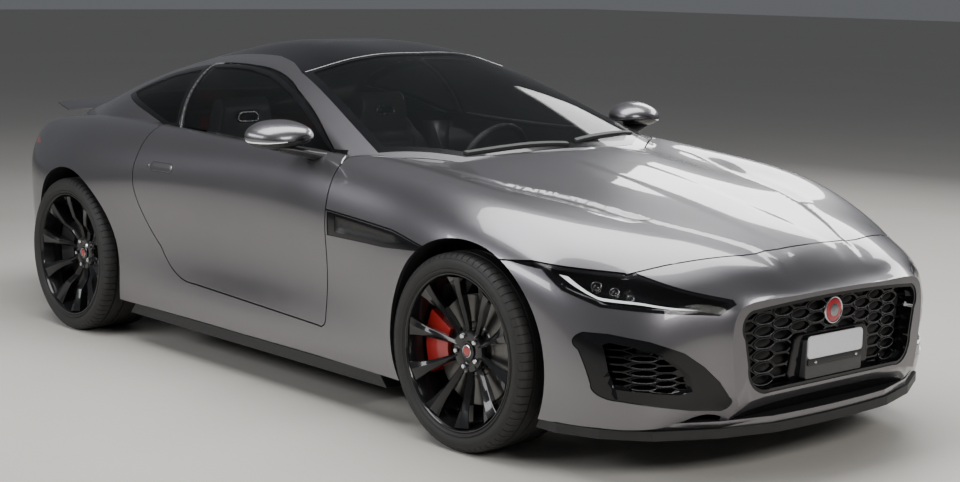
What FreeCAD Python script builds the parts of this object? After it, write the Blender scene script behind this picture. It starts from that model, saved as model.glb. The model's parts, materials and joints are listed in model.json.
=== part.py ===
import FreeCAD, Part
import math
import os
import re
from FreeCAD import Vector
import Sketcher

# A two-seat coupe car at its real size, in millimetres.
# +X points to the nose, +Y to the left side, +Z up; the origin is on the ground
# under the middle of the car's length.

doc = FreeCAD.newDocument("coupe")

# Driving dimensions: alias, value, what it is.
DIMENSIONS = [
    ("wheelbase", 2622, "front axle to rear axle"),
    ("front_overhang", 883, "front axle to the nose"),
    ("rear_overhang", 965, "rear axle to the tail"),
    ("body_width", 1923, "across the rear haunches"),
    ("body_height", 1311, "ground to the roof"),
    ("skin", 16, "thickness of the outer panels with their frames"),
    ("glass", 5, "thickness of every pane"),
    ("shut_gap", 5.4, "gap round the doors, the bonnet and the tailgate"),
    ("seat_gap", 0.3, "clearance between pieces that sit on each other"),
    ("front_tyre_radius", 341, "outer radius of a front tyre"),
    ("rear_tyre_radius", 340.5, "outer radius of a rear tyre"),
    ("front_tyre_width", 265, "section width in front"),
    ("rear_tyre_width", 300, "section width behind"),
    ("front_track", 1594, "between the front tyres' middles"),
    ("rear_track", 1610, "between the rear tyres' middles"),
    ("rim_radius", 271.5, "outer radius of a rim's flange"),
    ("front_arch_gap", 43, "front tyre's radius to its arch's"),
    ("rear_arch_gap", 48, "rear tyre's radius to its arch's"),
    ("wheel_well", 470, "half the width between the inner wheelhouse walls"),
    ("hub_radius", 76, "hub flange behind each rim"),
    ("front_hub_face", 82, "tyre's middle to the face of a front hub"),
    ("rear_hub_face", 92, "tyre's middle to the face of a rear hub"),
    ("disc_radius", 190, "brake disc"),
    ("disc_width", 34, "brake disc's thickness"),
    ("spokes", 10, "spokes of a rim"),
    ("grille_pitch_across", 82, "column to column of the grille's cells"),
    ("grille_pitch_up", 40, "cell to cell in a column of the grille"),
    ("grille_wall", 7, "thickness of the web between two cells"),
    ("intake_pitch_across", 60, "column to column of a side intake's cells"),
    ("intake_pitch_up", 23, "cell to cell in a column of a side intake"),
    ("pivot_pin", 8, "radius of the pins that the bonnet turns on"),
    ("steering_wheel_radius", 185, "outer radius of the steering wheel"),
]
sheet = doc.addObject("Spreadsheet::Sheet", "Dimensions")
for row, (alias, value, note) in enumerate(DIMENSIONS, 1):
    sheet.set(f"A{row}", alias)
    sheet.set(f"B{row}", str(value))
    sheet.setAlias(f"B{row}", alias)
    sheet.set(f"C{row}", note)
doc.recompute()
size = {alias: float(getattr(sheet, alias)) for alias, _, _ in DIMENSIONS}

# The sections below are drawn for a car of these sizes, and stretch with the sheet.
DRAWN_FRONT_AXLE, DRAWN_REAR_AXLE = 1352, -1270
DRAWN = {"wheelbase": 2622, "front_overhang": 883, "rear_overhang": 965,
         "body_width": 1923, "body_height": 1311}

length = size["wheelbase"] + size["front_overhang"] + size["rear_overhang"]
front_axle = length / 2 - size["front_overhang"]
rear_axle = front_axle - size["wheelbase"]


def along(x):
    """A drawn place along the car, moved to the real overhangs and wheelbase."""
    if x > DRAWN_FRONT_AXLE:
        return front_axle + (x - DRAWN_FRONT_AXLE) * size["front_overhang"] / DRAWN["front_overhang"]
    if x < DRAWN_REAR_AXLE:
        return rear_axle + (x - DRAWN_REAR_AXLE) * size["rear_overhang"] / DRAWN["rear_overhang"]
    return rear_axle + (x - DRAWN_REAR_AXLE) * size["wheelbase"] / DRAWN["wheelbase"]


def across(y):
    return y * size["body_width"] / DRAWN["body_width"]


def above(z):
    return z * size["body_height"] / DRAWN["body_height"]


def place(x, y, z):
    return Vector(along(x), across(y), above(z))


# Lower body: one row a section, nose to tail; its points (x, y, z) run from the
# sill up the left side to the centre line. The first and last rows lie outside
# the car, so that the nose and tail can be cut to their own shapes.
LOWER_BODY = [
    [(2320, 470, 205), (2320, 486, 300), (2320, 494, 400), (2320, 494, 480), (2320, 480, 545),
     (2320, 436, 575), (2320, 290, 582), (2320, 145, 586), (2320, 0, 588)],
    [(2160, 470, 205), (2190, 488, 300), (2200, 496, 400), (2206, 496, 480), (2210, 482, 545),
     (2218, 436, 580), (2228, 290, 590), (2233, 145, 595), (2235, 0, 597)],
    [(2060, 690, 190), (2078, 694, 290), (2084, 690, 400), (2084, 676, 490), (2080, 640, 572),
     (2085, 560, 628), (2125, 390, 658), (2145, 195, 668), (2150, 0, 671)],
    [(1930, 806, 184), (1945, 814, 290), (1950, 812, 400), (1945, 800, 505), (1930, 770, 598),
     (1905, 700, 665), (1945, 500, 720), (1980, 250, 735), (1990, 0, 739)],
    [(1780, 862, 182), (1785, 874, 290), (1785, 880, 400), (1778, 878, 520), (1765, 858, 635),
     (1745, 780, 718), (1765, 560, 768), (1785, 290, 780), (1795, 0, 786)],
    [(1610, 888, 182), (1610, 902, 290), (1608, 910, 410), (1605, 912, 540), (1598, 900, 670),
     (1585, 815, 776), (1590, 600, 812), (1600, 300, 822), (1600, 0, 828)],
    [(1352, 903, 182), (1352, 922, 290), (1352, 932, 420), (1352, 937, 560), (1352, 929, 705),
     (1352, 838, 832), (1352, 620, 852), (1352, 310, 866), (1352, 0, 874)],
    [(1000, 893, 182), (1000, 906, 290), (1000, 909, 420), (1000, 913, 565), (1000, 908, 715),
     (1000, 835, 866), (1000, 620, 897), (1000, 310, 917), (1000, 0, 926)],
    [(600, 882, 182), (600, 893, 290), (600, 884, 430), (600, 890, 580), (600, 897, 740),
     (600, 838, 893), (600, 640, 938), (600, 330, 955), (600, 0, 962)],
    [(0, 882, 182), (0, 893, 290), (0, 878, 430), (0, 884, 590), (0, 896, 760),
     (0, 842, 905), (0, 640, 945), (0, 330, 960), (0, 0, 965)],
    [(-600, 886, 184), (-600, 900, 290), (-600, 895, 430), (-600, 912, 590), (-600, 930, 760),
     (-600, 852, 915), (-600, 640, 955), (-600, 330, 965), (-600, 0, 970)],
    [(-1270, 900, 200), (-1270, 926, 300), (-1270, 942, 430), (-1270, 958, 590), (-1270, 952, 745),
     (-1270, 850, 905), (-1270, 640, 945), (-1270, 330, 950), (-1270, 0, 950)],
    [(-1700, 835, 240), (-1700, 862, 330), (-1700, 876, 450), (-1700, 882, 600), (-1700, 872, 745),
     (-1700, 770, 885), (-1700, 600, 903), (-1700, 310, 903), (-1700, 0, 903)],
    [(-2000, 680, 280), (-2000, 705, 360), (-2000, 720, 470), (-2000, 724, 600), (-2000, 712, 745),
     (-2000, 640, 858), (-2000, 500, 872), (-2000, 260, 872), (-2000, 0, 872)],
    [(-2120, 555, 300), (-2140, 590, 380), (-2150, 608, 480), (-2150, 612, 600), (-2146, 596, 740),
     (-2130, 525, 838), (-2125, 430, 855), (-2125, 220, 860), (-2125, 0, 862)],
    [(-2330, 500, 300), (-2330, 530, 380), (-2330, 545, 480), (-2330, 548, 600), (-2330, 532, 740),
     (-2330, 480, 825), (-2330, 400, 840), (-2330, 200, 845), (-2330, 0, 845)],
]

# Greenhouse: windscreen base to tail; from inside the shoulder up to the centre line.
GREENHOUSE = [
    [(1000, 800, 740), (1000, 790, 770), (1000, 780, 800), (1000, 750, 830),
     (1000, 690, 850), (1000, 380, 872), (1000, 0, 880)],
    [(640, 812, 840), (612, 800, 890), (600, 786, 922), (592, 756, 938),
     (640, 700, 944), (800, 400, 950), (868, 0, 955)],
    [(440, 800, 840), (420, 790, 905), (395, 752, 985), (372, 700, 1022),
     (408, 640, 1036), (540, 360, 1066), (590, 0, 1078)],
    [(180, 790, 840), (170, 782, 912), (140, 728, 1040), (115, 650, 1112),
     (145, 585, 1134), (250, 330, 1178), (290, 0, 1194)],
    [(-120, 786, 850), (-120, 780, 918), (-130, 718, 1070), (-140, 618, 1172),
     (-125, 548, 1206), (-60, 310, 1260), (-40, 0, 1277)],
    [(-430, 784, 860), (-430, 778, 925), (-430, 716, 1080), (-430, 612, 1192),
     (-430, 540, 1230), (-430, 300, 1292), (-430, 0, 1309)],
    [(-800, 782, 870), (-800, 772, 940), (-800, 710, 1065), (-800, 608, 1160),
     (-800, 530, 1200), (-800, 290, 1260), (-800, 0, 1278)],
    [(-1200, 765, 880), (-1200, 745, 950), (-1200, 682, 1030), (-1200, 590, 1090),
     (-1200, 515, 1120), (-1200, 280, 1162), (-1200, 0, 1175)],
    [(-1650, 625, 860), (-1650, 608, 905), (-1650, 570, 948), (-1650, 515, 982),
     (-1650, 455, 1000), (-1650, 250, 1028), (-1650, 0, 1036)],
    [(-2150, 450, 780), (-2155, 440, 830), (-2160, 420, 858), (-2165, 385, 878),
     (-2168, 340, 888), (-2175, 190, 902), (-2180, 0, 906)],
    [(-2330, 430, 700), (-2330, 420, 760), (-2330, 400, 795), (-2330, 365, 818),
     (-2330, 320, 830), (-2330, 180, 845), (-2330, 0, 850)],
]


def normal_at(points, i, j):
    """Outward direction of a grid of points at one of them, from its neighbours."""
    rows, columns = len(points), len(points[0])
    fore = points[max(i - 1, 0)][j] - points[min(i + 1, rows - 1)][j]
    round_ = points[i][min(j + 1, columns - 1)] - points[i][max(j - 1, 0)]
    return round_.cross(fore).normalize()


def section_grid(table, inset=0, sink=0):
    """All points of a table, left sill over the roof to right sill, moved in by inset.
    The end rows stay flat, and sink moves them and both bottom edges out past the car."""
    half = [[place(*point) for point in row] for row in table]
    grid = [row + [Vector(p.x, -p.y, p.z) for p in reversed(row[:-1])] for row in half]
    if inset:
        moved = []
        for i, row in enumerate(grid):
            new_row = []
            for j, point in enumerate(row):
                step = normal_at(grid, i, j)
                reach = Vector(0, 0, 0)
                if i in (0, len(grid) - 1):
                    step = Vector(0, step.y, step.z).normalize()
                    reach.x = sink if i == 0 else -sink
                new_row.append(point - step * inset + reach)
            moved.append(new_row)
        grid = moved
    for row in grid:
        for j in (0, -1):
            row[j] = Vector(row[j].x, row[j].y, row[j].z - sink)
    return grid


def chord_parameters(lines):
    """One parameter for each point, from the mean chord lengths of many like lines."""
    steps = [sum(line[k + 1].distanceToPoint(line[k]) for line in lines) for k in range(len(lines[0]) - 1)]
    total, run, out = sum(steps), 0.0, [0.0]
    for step in steps:
        run += step
        out.append(run / total)
    return out


def averaged_knots(parameters):
    inner = [sum(parameters[j:j + 3]) / 3 for j in range(1, len(parameters) - 3)]
    return [0.0] + inner + [1.0]


def basis_row(t, flat, count):
    """Cubic basis functions at t on a flat knot list."""
    t = min(max(t, 0.0), 1 - 1e-12)
    values = [1.0 if flat[k] <= t < flat[k + 1] else 0.0 for k in range(len(flat) - 1)]
    for degree in range(1, 4):
        raised = []
        for k in range(len(flat) - 1 - degree):
            left, right = flat[k + degree] - flat[k], flat[k + degree + 1] - flat[k + 1]
            value = (t - flat[k]) / left * values[k] if left else 0.0
            value += (flat[k + degree + 1] - t) / right * values[k + 1] if right else 0.0
            raised.append(value)
        values = raised
    return values[:count]


def solve_poles(parameters, points):
    """Poles of the cubic that passes through points at their parameters."""
    count = len(points)
    inner = averaged_knots(parameters)
    flat = [0.0] * 3 + inner + [1.0] * 3
    rows = [basis_row(t, flat, count) for t in parameters]
    right = [Vector(p) for p in points]
    for k in range(count):
        pivot = max(range(k, count), key=lambda r: abs(rows[r][k]))
        rows[k], rows[pivot] = rows[pivot], rows[k]
        right[k], right[pivot] = right[pivot], right[k]
        for r in range(k + 1, count):
            factor = rows[r][k] / rows[k][k]
            if factor:
                rows[r] = [a - factor * b for a, b in zip(rows[r], rows[k])]
                right[r] = right[r] - right[k] * factor
    poles = [None] * count
    for k in range(count - 1, -1, -1):
        rest = right[k]
        for c in range(k + 1, count):
            rest = rest - poles[c] * rows[k][c]
        poles[k] = rest * (1 / rows[k][k])
    return poles


def spline_surface(grid):
    """The smooth surface through a grid of points."""
    down = chord_parameters([[row[j] for row in grid] for j in range(len(grid[0]))])
    over = chord_parameters(grid)
    by_column = [solve_poles(down, [row[j] for row in grid]) for j in range(len(grid[0]))]
    poles = [solve_poles(over, [column[i] for column in by_column]) for i in range(len(grid))]
    surface = Part.BSplineSurface()
    knots_down, knots_over = averaged_knots(down), averaged_knots(over)
    surface.buildFromPolesMultsKnots(
        poles, [4] + [1] * (len(knots_down) - 2) + [4], [4] + [1] * (len(knots_over) - 2) + [4],
        knots_down, knots_over, False, False, 3, 3)
    return surface


def tube(grid):
    """A closed solid: the surface through the grid, its flat bottom and two flat ends."""
    face = spline_surface(grid).toShape()
    ends = [edge for edge in face.Edges if edge.BoundBox.XLength < 1e-3]
    sills = [edge for edge in face.Edges if edge.BoundBox.XLength > 1]
    bottom = Part.makeRuledSurface(sills[0], sills[1])
    caps = []
    for end in ends:
        close = Part.makeLine(end.Vertexes[-1].Point, end.Vertexes[0].Point)
        caps.append(Part.Face(Part.Wire([end, close])))
    shell = Part.Shell([face, bottom] + caps)
    shell.sewShape()
    solid = Part.Solid(shell)
    if solid.Volume < 0:
        solid.reverse()
    return solid


def drawn_wire(points, lift):
    """A closed wire through drawn points; a four-number point is an arc, through and to."""
    edges = []
    start = points[0][-2:]
    for point in points[1:] + [points[0][-2:]]:
        end = point[-2:]
        if len(point) == 4:
            edges.append(Part.Arc(lift(*start), lift(*point[:2]), lift(*end)).toShape())
        elif lift(*start).distanceToPoint(lift(*end)) > 1e-6:
            edges.append(Part.makeLine(lift(*start), lift(*end)))
        start = end
    return Part.Wire(edges)


def grown(wire, distance):
    """The outline moved out by a distance, or in where it is negative."""
    sharp, rounded = 2, 0
    return wire.makeOffset2D(distance, sharp if distance > 0 else rounded) if distance else wire


def side_prism(points, low=-1200, high=1200, grow=0):
    """An outline (x, z) seen from the side, swept across from y = low to high."""
    wire = grown(drawn_wire(points, lambda x, z: Vector(along(x), 0, above(z))), grow)
    face = Part.Face(wire)
    face.translate(Vector(0, low, 0))
    return face.extrude(Vector(0, high - low, 0))


def plan_prism(points, low=0, high=1600, grow=0, lean=0, level=0):
    """An outline (x, y) seen from above, swept up from z = low to high. With a lean it
    moves forward by that much for each mm up, and is as drawn at the level."""
    wire = grown(drawn_wire(points, lambda x, y: Vector(along(x), across(y), 0)), grow)
    face = Part.Face(wire)
    face.translate(Vector(lean * (low - level), 0, low))
    return face.extrude(Vector(lean * (high - low), 0, high - low))


def front_prism(points, low, high, grow=0):
    """An outline (y, z) seen from the front, swept along from x = low to high."""
    wire = grown(drawn_wire(points, lambda y, z: Vector(0, across(y), above(z))), grow)
    face = Part.Face(wire)
    face.translate(Vector(low, 0, 0))
    return face.extrude(Vector(high - low, 0, 0))


def block(low, high):
    """A box between two real corners."""
    return Part.makeBox(high.x - low.x, high.y - low.y, high.z - low.z, low)


def mirrored(shape):
    return shape.mirror(Vector(0, 0, 0), Vector(0, 1, 0))


def both_sides(shape):
    return Part.Compound([shape, mirrored(shape)])


def union(*shapes):
    return shapes[0].fuse(list(shapes[1:])).removeSplitter()


def cylinder_across(x, y_low, y_high, z, radius):
    return Part.makeCylinder(radius, y_high - y_low, Vector(x, y_low, z), Vector(0, 1, 0))


def side_bar(start, end, width, low, high):
    """A flat bar between two drawn places (x, z), seen from the side."""
    a, b = [Vector(along(x), low, above(z)) for x, z in (start, end)]
    aside = (b - a).normalize().cross(Vector(0, 1, 0)) * (width / 2)
    corners = [a + aside, b + aside, b - aside, a - aside]
    return Part.Face(Part.makePolygon(corners + corners[:1])).extrude(Vector(0, high - low, 0))


def honeycomb(outline, border, pitch_across, pitch_up, wall, keep_out=None):
    """The openings of a mesh as prisms along the car: flat six-sided cells in staggered
    columns, cut off where they pass the border inside the outline (y, z)."""
    area = Part.Face(grown(drawn_wire(outline, lambda y, z: Vector(0, across(y), above(z))), -border))
    if keep_out:
        area = area.cut(Part.Face(drawn_wire(keep_out, lambda y, z: Vector(0, y, z))))
    box = area.BoundBox
    half_high = (pitch_up - wall) / 2
    half_wide = (pitch_across * 4 / 3 - wall) / 2
    shoulder = half_wide - pitch_across / 3
    cells = []
    for column in range(math.floor(box.YMin / pitch_across), math.ceil(box.YMax / pitch_across) + 1):
        shift = pitch_up / 2 if column % 2 else 0
        for row in range(math.floor(box.ZMin / pitch_up) - 1, math.ceil(box.ZMax / pitch_up) + 1):
            y, z = column * pitch_across, row * pitch_up + shift
            corners = [Vector(0, y + a, z + b) for a, b in (
                (half_wide, 0), (shoulder, half_high), (-shoulder, half_high), (-half_wide, 0),
                (-shoulder, -half_high), (shoulder, -half_high))]
            cells.append(Part.Face(Part.makePolygon(corners + corners[:1])))
    least = 0.25 * cells[0].Area
    reach = Vector(600, 0, 0)
    openings = []
    for part_cell in area.common(Part.Compound(cells)).Faces:
        if part_cell.Area > least:
            part_cell.translate(Vector(along(1750), 0, 0))
            openings.append(part_cell.extrude(reach))
    return openings


# Outlines of the car's ends: the side view gives the nose and tail, the plan view
# their bow.
SIDE_LIMITS = [(-2130, 60), (2150, 60), (2160, 200), (2218, 275), (2233, 440, 2236, 600), (2236, 1500),
               (-2196, 1500), (-2196, 905), (-2176, 855), (-2184, 770), (-2222, 735),
               (-2236, 560, -2205, 410), (-2140, 280)]
PLAN_LIMITS = [(-2100, -1000), (2093, -1000), (2236, 0, 2093, 1000), (-2100, 1000), (-2236, 0, -2100, -1000)]

# Panel outlines in side view (x, z).
DOOR = [(588, 905), (578, 340), (568, 310, 540, 305), (-330, 338), (-480, 375, -566, 460),
        (-690, 640, -706, 830), (-704, 952), (-647, 949), (-118, 933), (548, 942)]
SIDE_WINDOW = [(548, 903), (310, 1025, 43, 1132), (-120, 1184, -330, 1209), (-600, 1206, -900, 1163),
               (-1060, 1116, -1185, 1056), (-1192, 1046), (-900, 988), (-690, 938), (-118, 915)]
DOOR_GLASS = [(-578, 880), (-652, 1230), (1000, 1230), (1000, 880)]
QUARTER_GLASS_FRONT = [(-600, 880), (-674, 1230), (-1500, 1230), (-1500, 880)]
BONNET_SIDE = [(592, 744), (1001, 716), (1240, 676), (1586, 688), (1664, 694), (1909, 668), (2100, 560),
               (2300, 560), (2300, 1400), (592, 1400)]
HEADLAMP = [(1580, 684), (1664, 700), (1909, 674), (2190, 589), (2165, 549), (1909, 569), (1790, 612),
            (1707, 668)]
TAIL_LAMP = [(-1700, 800), (-1950, 838), (-2300, 846), (-2300, 776), (-1950, 776)]

# Panel outlines in plan view (x, y).
WINDSCREEN = [(646, 700), (838, 440), (896, 0, 838, -440), (646, -700), (-60, -541), (-2, 0, -60, 541)]
ROOF = [(-60, 541), (-2, 0, -60, -541), (-180, -492), (-320, -458), (-790, -450), (-760, 0, -790, 450),
        (-320, 458), (-180, 492)]
BONNET_REAR = [(560, 960), (592, 792), (700, 706), (880, 470), (938, 0, 880, -470), (700, -706), (592, -792),
               (560, -960), (2300, -960), (2300, 960)]
# The bonnet's front joint leans with the way its edge swings; drawn at the joint's highest place.
BONNET_NOSE = [(-400, 1000), (-400, -1000), (1800, -1000), (1972, -738), (1998, -565), (2062, -300),
               (2070, 0, 2062, 300), (1998, 565), (1972, 738), (1800, 1000)]
BONNET_JOINT_TOP = 712
BONNET_JOINT_LEAN = 1.376
TAILGATE = [(-806, 512), (-766, 0, -806, -512), (-1200, -498), (-1650, -476), (-2300, -476),
            (-2300, 476), (-1650, 476), (-1200, 498)]
TAILGATE_GLASS = [(-860, 470), (-822, 0, -860, -470), (-1200, -455), (-1560, -405), (-1640, -300),
                  (-1665, 0, -1640, 300), (-1560, 405), (-1200, 455)]

skin = size["skin"]
gap = size["shut_gap"]


def envelope(inset):
    return side_prism(SIDE_LIMITS, grow=-inset).common(plan_prism(PLAN_LIMITS, 0, 1600, -inset))


def body_solid(inset):
    sink = 60 if inset else 0
    lower = tube(section_grid(LOWER_BODY, inset, sink))
    upper = tube(section_grid(GREENHOUSE, inset, sink))
    return lower.fuse(upper).common(envelope(inset))


outer = body_solid(0)
lower_solid = tube(section_grid(LOWER_BODY))
panel = outer.cut(body_solid(skin))
core = body_solid(skin + 8)
greenhouse = tube(section_grid(GREENHOUSE))
greenhouse_inside = tube(section_grid(GREENHOUSE, size["glass"]))

hub = {"front": Vector(front_axle, size["front_track"] / 2, size["front_tyre_radius"]),
       "rear": Vector(rear_axle, size["rear_track"] / 2, size["rear_tyre_radius"])}
arch_radius = {end: size[f"{end}_tyre_radius"] + size[f"{end}_arch_gap"] for end in hub}
# An arch's middle lies a little ahead of its hub and above it.
ARCH_AHEAD = {"front": 16, "rear": 8}
ARCH_ABOVE = {"front": 6, "rear": 2}


def arch(end, extra=0, inner=0):
    """The room of a left wheel, as a cylinder across."""
    return cylinder_across(hub[end].x + ARCH_AHEAD[end], size["wheel_well"] + inner, 1200,
                           hub[end].z + ARCH_ABOVE[end], arch_radius[end] + extra)


def piece(name, shape):
    """A finished sub-part as an object of the document."""
    made = doc.addObject("Part::Feature", name)
    made.Shape = shape
    made.Label = name
    return made


def pane(prism):
    """A pane of the greenhouse, as thick as the glass."""
    return greenhouse.common(prism).cut(greenhouse_inside)


def leaning_prism(points, lean, level, grow):
    """A plan outline whose ends lean, moved forward for a gap square to the joint."""
    return plan_prism(points, 100, 1500, 0, lean, above(level) - grow * math.hypot(1, lean) / lean)


def bonnet_zone(grow=0):
    zone = side_prism(BONNET_SIDE, grow=grow).common(plan_prism(BONNET_REAR, grow=grow))
    return zone.common(leaning_prism(BONNET_NOSE, BONNET_JOINT_LEAN, BONNET_JOINT_TOP, grow))


def door_zone(grow=0, low=500):
    return side_prism(DOOR, low, 1200, grow)


# Zones that panels share.
tailgate_side = [(-700, 1000), (-1700, 860), (-2100, 852), (-2320, 852), (-2320, 1500), (-700, 1500)]


def tailgate_zone(grow=0):
    return plan_prism(TAILGATE, 700, 1500, grow).common(side_prism(tailgate_side, grow=grow))


arches = [shape for end in hub for shape in (arch(end), mirrored(arch(end)))]
front_limit = block(Vector(front_axle, -1200, 0), Vector(2400, 1200, 1600))
rear_bumper_zone = side_prism([(-1560, 60), (-1612, 560), (-1700, 772), (-2400, 772), (-2400, 60)])
LAMP_IN, TAIL_LAMP_IN = across(470), across(300)


def nose_middle(half):
    """The middle of the nose, between the inner ends of the headlamps."""
    return block(Vector(along(1500), -half, above(400)), Vector(along(2400), half, above(800)))


lamp_zone = side_prism(HEADLAMP).cut(nose_middle(LAMP_IN))
tail_lamp_zone = side_prism(TAIL_LAMP).cut(block(Vector(along(-2400), -TAIL_LAMP_IN, above(700)),
                                                 Vector(along(-1500), TAIL_LAMP_IN, above(900))))
roof_zone = plan_prism(ROOF, 1000, 1500)
windscreen_zone = plan_prism(WINDSCREEN, 880, 1500)
seat = size["seat_gap"]
door_glass_zone = side_prism(SIDE_WINDOW, grow=gap).common(side_prism(DOOR_GLASS, grow=gap))
quarter_zone = side_prism(SIDE_WINDOW, grow=seat).common(side_prism(QUARTER_GLASS_FRONT, grow=seat))

# Front bumper: the nose with its grille opening, side intakes and lower mouth.
GRILLE = [(-330, 286), (330, 286), (396, 300, 432, 380), (450, 470), (452, 540, 420, 562),
          (0, 582, -420, 562), (-452, 540, -450, 470), (-432, 380), (-396, 300, -330, 286)]
INTAKE = [(488, 287), (484, 250, 504, 239), (591, 244), (785, 278), (824, 295, 834, 325), (851, 432),
          (851, 480, 841, 491), (802, 491), (722, 472), (627, 434), (566, 388), (518, 337)]
grille_zone = front_prism(GRILLE, 1950, 2400)
intake_zone = front_prism(INTAKE, 1700, 2400)
bumper = panel.common(front_limit).cut(bonnet_zone(gap)).cut(
    side_prism(HEADLAMP, grow=seat).cut(nose_middle(LAMP_IN - seat)))
bumper = bumper.cut(arches + [grille_zone, intake_zone, mirrored(intake_zone)])
# Its lip lies on the splitter below it and stands out almost as far.
SPLITTER = [(1560, 868), (1790, 866), (1930, 812), (2060, 700), (2165, 500), (2222, 300), (2236, 0, 2222, -300),
            (2165, -500), (2060, -700), (1930, -812), (1790, -866), (1560, -868)]
SPLITTER_LOW, SPLITTER_TOP, LIP_TOP, LIP_STEP = above(150), above(181), above(203), 10
lip = plan_prism(SPLITTER, SPLITTER_TOP + seat, LIP_TOP, grow=-LIP_STEP).cut(arches)
piece("front_bumper", bumper.fuse(lip))

# Headlamps: a dark bowl behind a clear cover, with the strip of the day light standing
# on its floor.
LAMP_COVER, LAMP_DEEP, LAMP_FLOOR, LAMP_BORDER = 4, 62, 48, 9
DAY_LIGHT = [(1752, 668), (1806, 662), (1848, 618), (1880, 607), (1996, 596), (2138, 564), (2140, 558),
             (2004, 584), (1903, 589), (1806, 634)]
lamp_room = lamp_zone.cut([bonnet_zone(gap)] + arches)
behind_cover = body_solid(LAMP_COVER)
lamp_floor = body_solid(LAMP_FLOOR)
LAMP_END = LAMP_IN + across(16)
bowl = side_prism(HEADLAMP, grow=-LAMP_BORDER).cut(nose_middle(LAMP_END))
bowl = bowl.cut(bonnet_zone(gap + LAMP_BORDER))
piece("lamp_covers", outer.cut(behind_cover).common(lamp_room))
headlamps = behind_cover.cut(body_solid(LAMP_DEEP)).common(lamp_room).cut(behind_cover.cut(lamp_floor).common(bowl))
piece("headlamps", headlamps)
DAY_LIGHT_DROP = 16
day_light = side_prism(DAY_LIGHT).common(side_prism(HEADLAMP, grow=-LAMP_BORDER - seat)).cut(
    bonnet_zone(gap + LAMP_BORDER + seat)).cut(nose_middle(LAMP_END + seat))
day_light = body_solid(DAY_LIGHT_DROP).common(day_light).cut(body_solid(LAMP_FLOOR - seat)).cut(arches)
piece("day_lights", day_light)

# Bonnet: a clamshell that takes the tops of both wings with it. Two goosenecks reach
# from under it, below the nose panel, to the pins that it turns on.
PIVOT = Vector(along(2160), 0, above(590))
ARM_Y, ARM_THICK, ARM_WIDTH = 200, 14, 24
under_panel = body_solid(skin - 1)
pivot_eye = cylinder_across(PIVOT.x, ARM_Y, ARM_Y + ARM_THICK, PIVOT.z, size["pivot_pin"] + 6)
neck = [side_bar((2160, 590), (1994, 468), ARM_WIDTH, ARM_Y, ARM_Y + ARM_THICK),
        side_bar((2004, 462), (1940, 740), ARM_WIDTH, ARM_Y, ARM_Y + ARM_THICK)]
gooseneck = pivot_eye.fuse(neck).common(under_panel).cut(
    cylinder_across(PIVOT.x, 0, 400, PIVOT.z, size["pivot_pin"] + seat))
bonnet = panel.common(bonnet_zone()).cut(arches + [door_zone(gap), mirrored(door_zone(gap))]).fuse(
    [gooseneck, mirrored(gooseneck)])
piece("bonnet", bonnet)

# Doors: the outer skin, and a smaller inner part as deep as the door.
DOOR_STEP = 16
inner_door = lower_solid.common(side_prism(DOOR, across(770), 1200, -DOOR_STEP))
door_skin = lower_solid.cut(body_solid(skin)).common(door_zone(0, across(700)))
door = door_skin.fuse(inner_door).cut(greenhouse_inside)
striker_place = Vector(along(-690), across(792), above(700))
STRIKER_RADIUS = 6
slot = block(Vector(along(-712), across(700), striker_place.z - STRIKER_RADIUS - seat),
             Vector(striker_place.x + 45, striker_place.y + STRIKER_RADIUS + seat,
                    striker_place.z + STRIKER_RADIUS + seat))
door = door.cut(slot)
piece("door_left", door)
piece("door_right", mirrored(door))

door_glass = pane(side_prism(SIDE_WINDOW, 400, 1200).common(side_prism(DOOR_GLASS))).cut(lower_solid)
quarter = pane(side_prism(SIDE_WINDOW, 400, 1200).common(side_prism(QUARTER_GLASS_FRONT))).cut(lower_solid)

piece("door_glass_left", door_glass)
piece("door_glass_right", mirrored(door_glass))
piece("quarter_glasses", both_sides(quarter))
piece("windscreen", pane(windscreen_zone))

# Tailgate: an outer frame round the rear window, hinged behind the roof.
tailgate_glass_zone = plan_prism(TAILGATE_GLASS, 900, 1500)
tailgate = panel.common(tailgate_zone()).cut(tailgate_glass_zone)
piece("tailgate", tailgate)
piece("tailgate_glass", pane(tailgate_glass_zone))
piece("roof_panel", panel.common(roof_zone))

rear_bumper = panel.common(rear_bumper_zone).cut(arches + [tailgate_zone(gap)])
tip_places = [(side * across(y), above(262)) for side in (1, -1) for y in (330, 425)]
TIP_RADIUS, TIP_WALL = 43, 3


def tip(y, z, radius, start=-1960, stop=-2196):
    return Part.makeCylinder(radius, along(start) - along(stop), Vector(along(stop), y, z), Vector(1, 0, 0))


rear_bumper = rear_bumper.cut([tip(y, z, TIP_RADIUS + seat, -1900, -2300) for y, z in tip_places])
piece("rear_bumper", rear_bumper)
tail_lamps = outer.cut(body_solid(36)).common(tail_lamp_zone).cut(tailgate_zone(gap))
piece("tail_lamps", tail_lamps)

# Wing vents: a long dark panel with a slot in it, let in behind each front wheel.
VENT = [(598, 736), (1001, 707), (1232, 672), (1120, 660), (950, 648), (598, 648)]
VENT_SLOT = [(640, 722), (1000, 696), (1060, 678), (940, 664), (640, 664)]
VENT_DROP = 3
vent_zone = side_prism(VENT, grow=seat)
vent = body_solid(VENT_DROP).cut(body_solid(skin)).common(side_prism(VENT))
vent = vent.cut([side_prism(VENT_SLOT).cut(body_solid(skin - 6))] + arches)
piece("wing_vents", vent)

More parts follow.
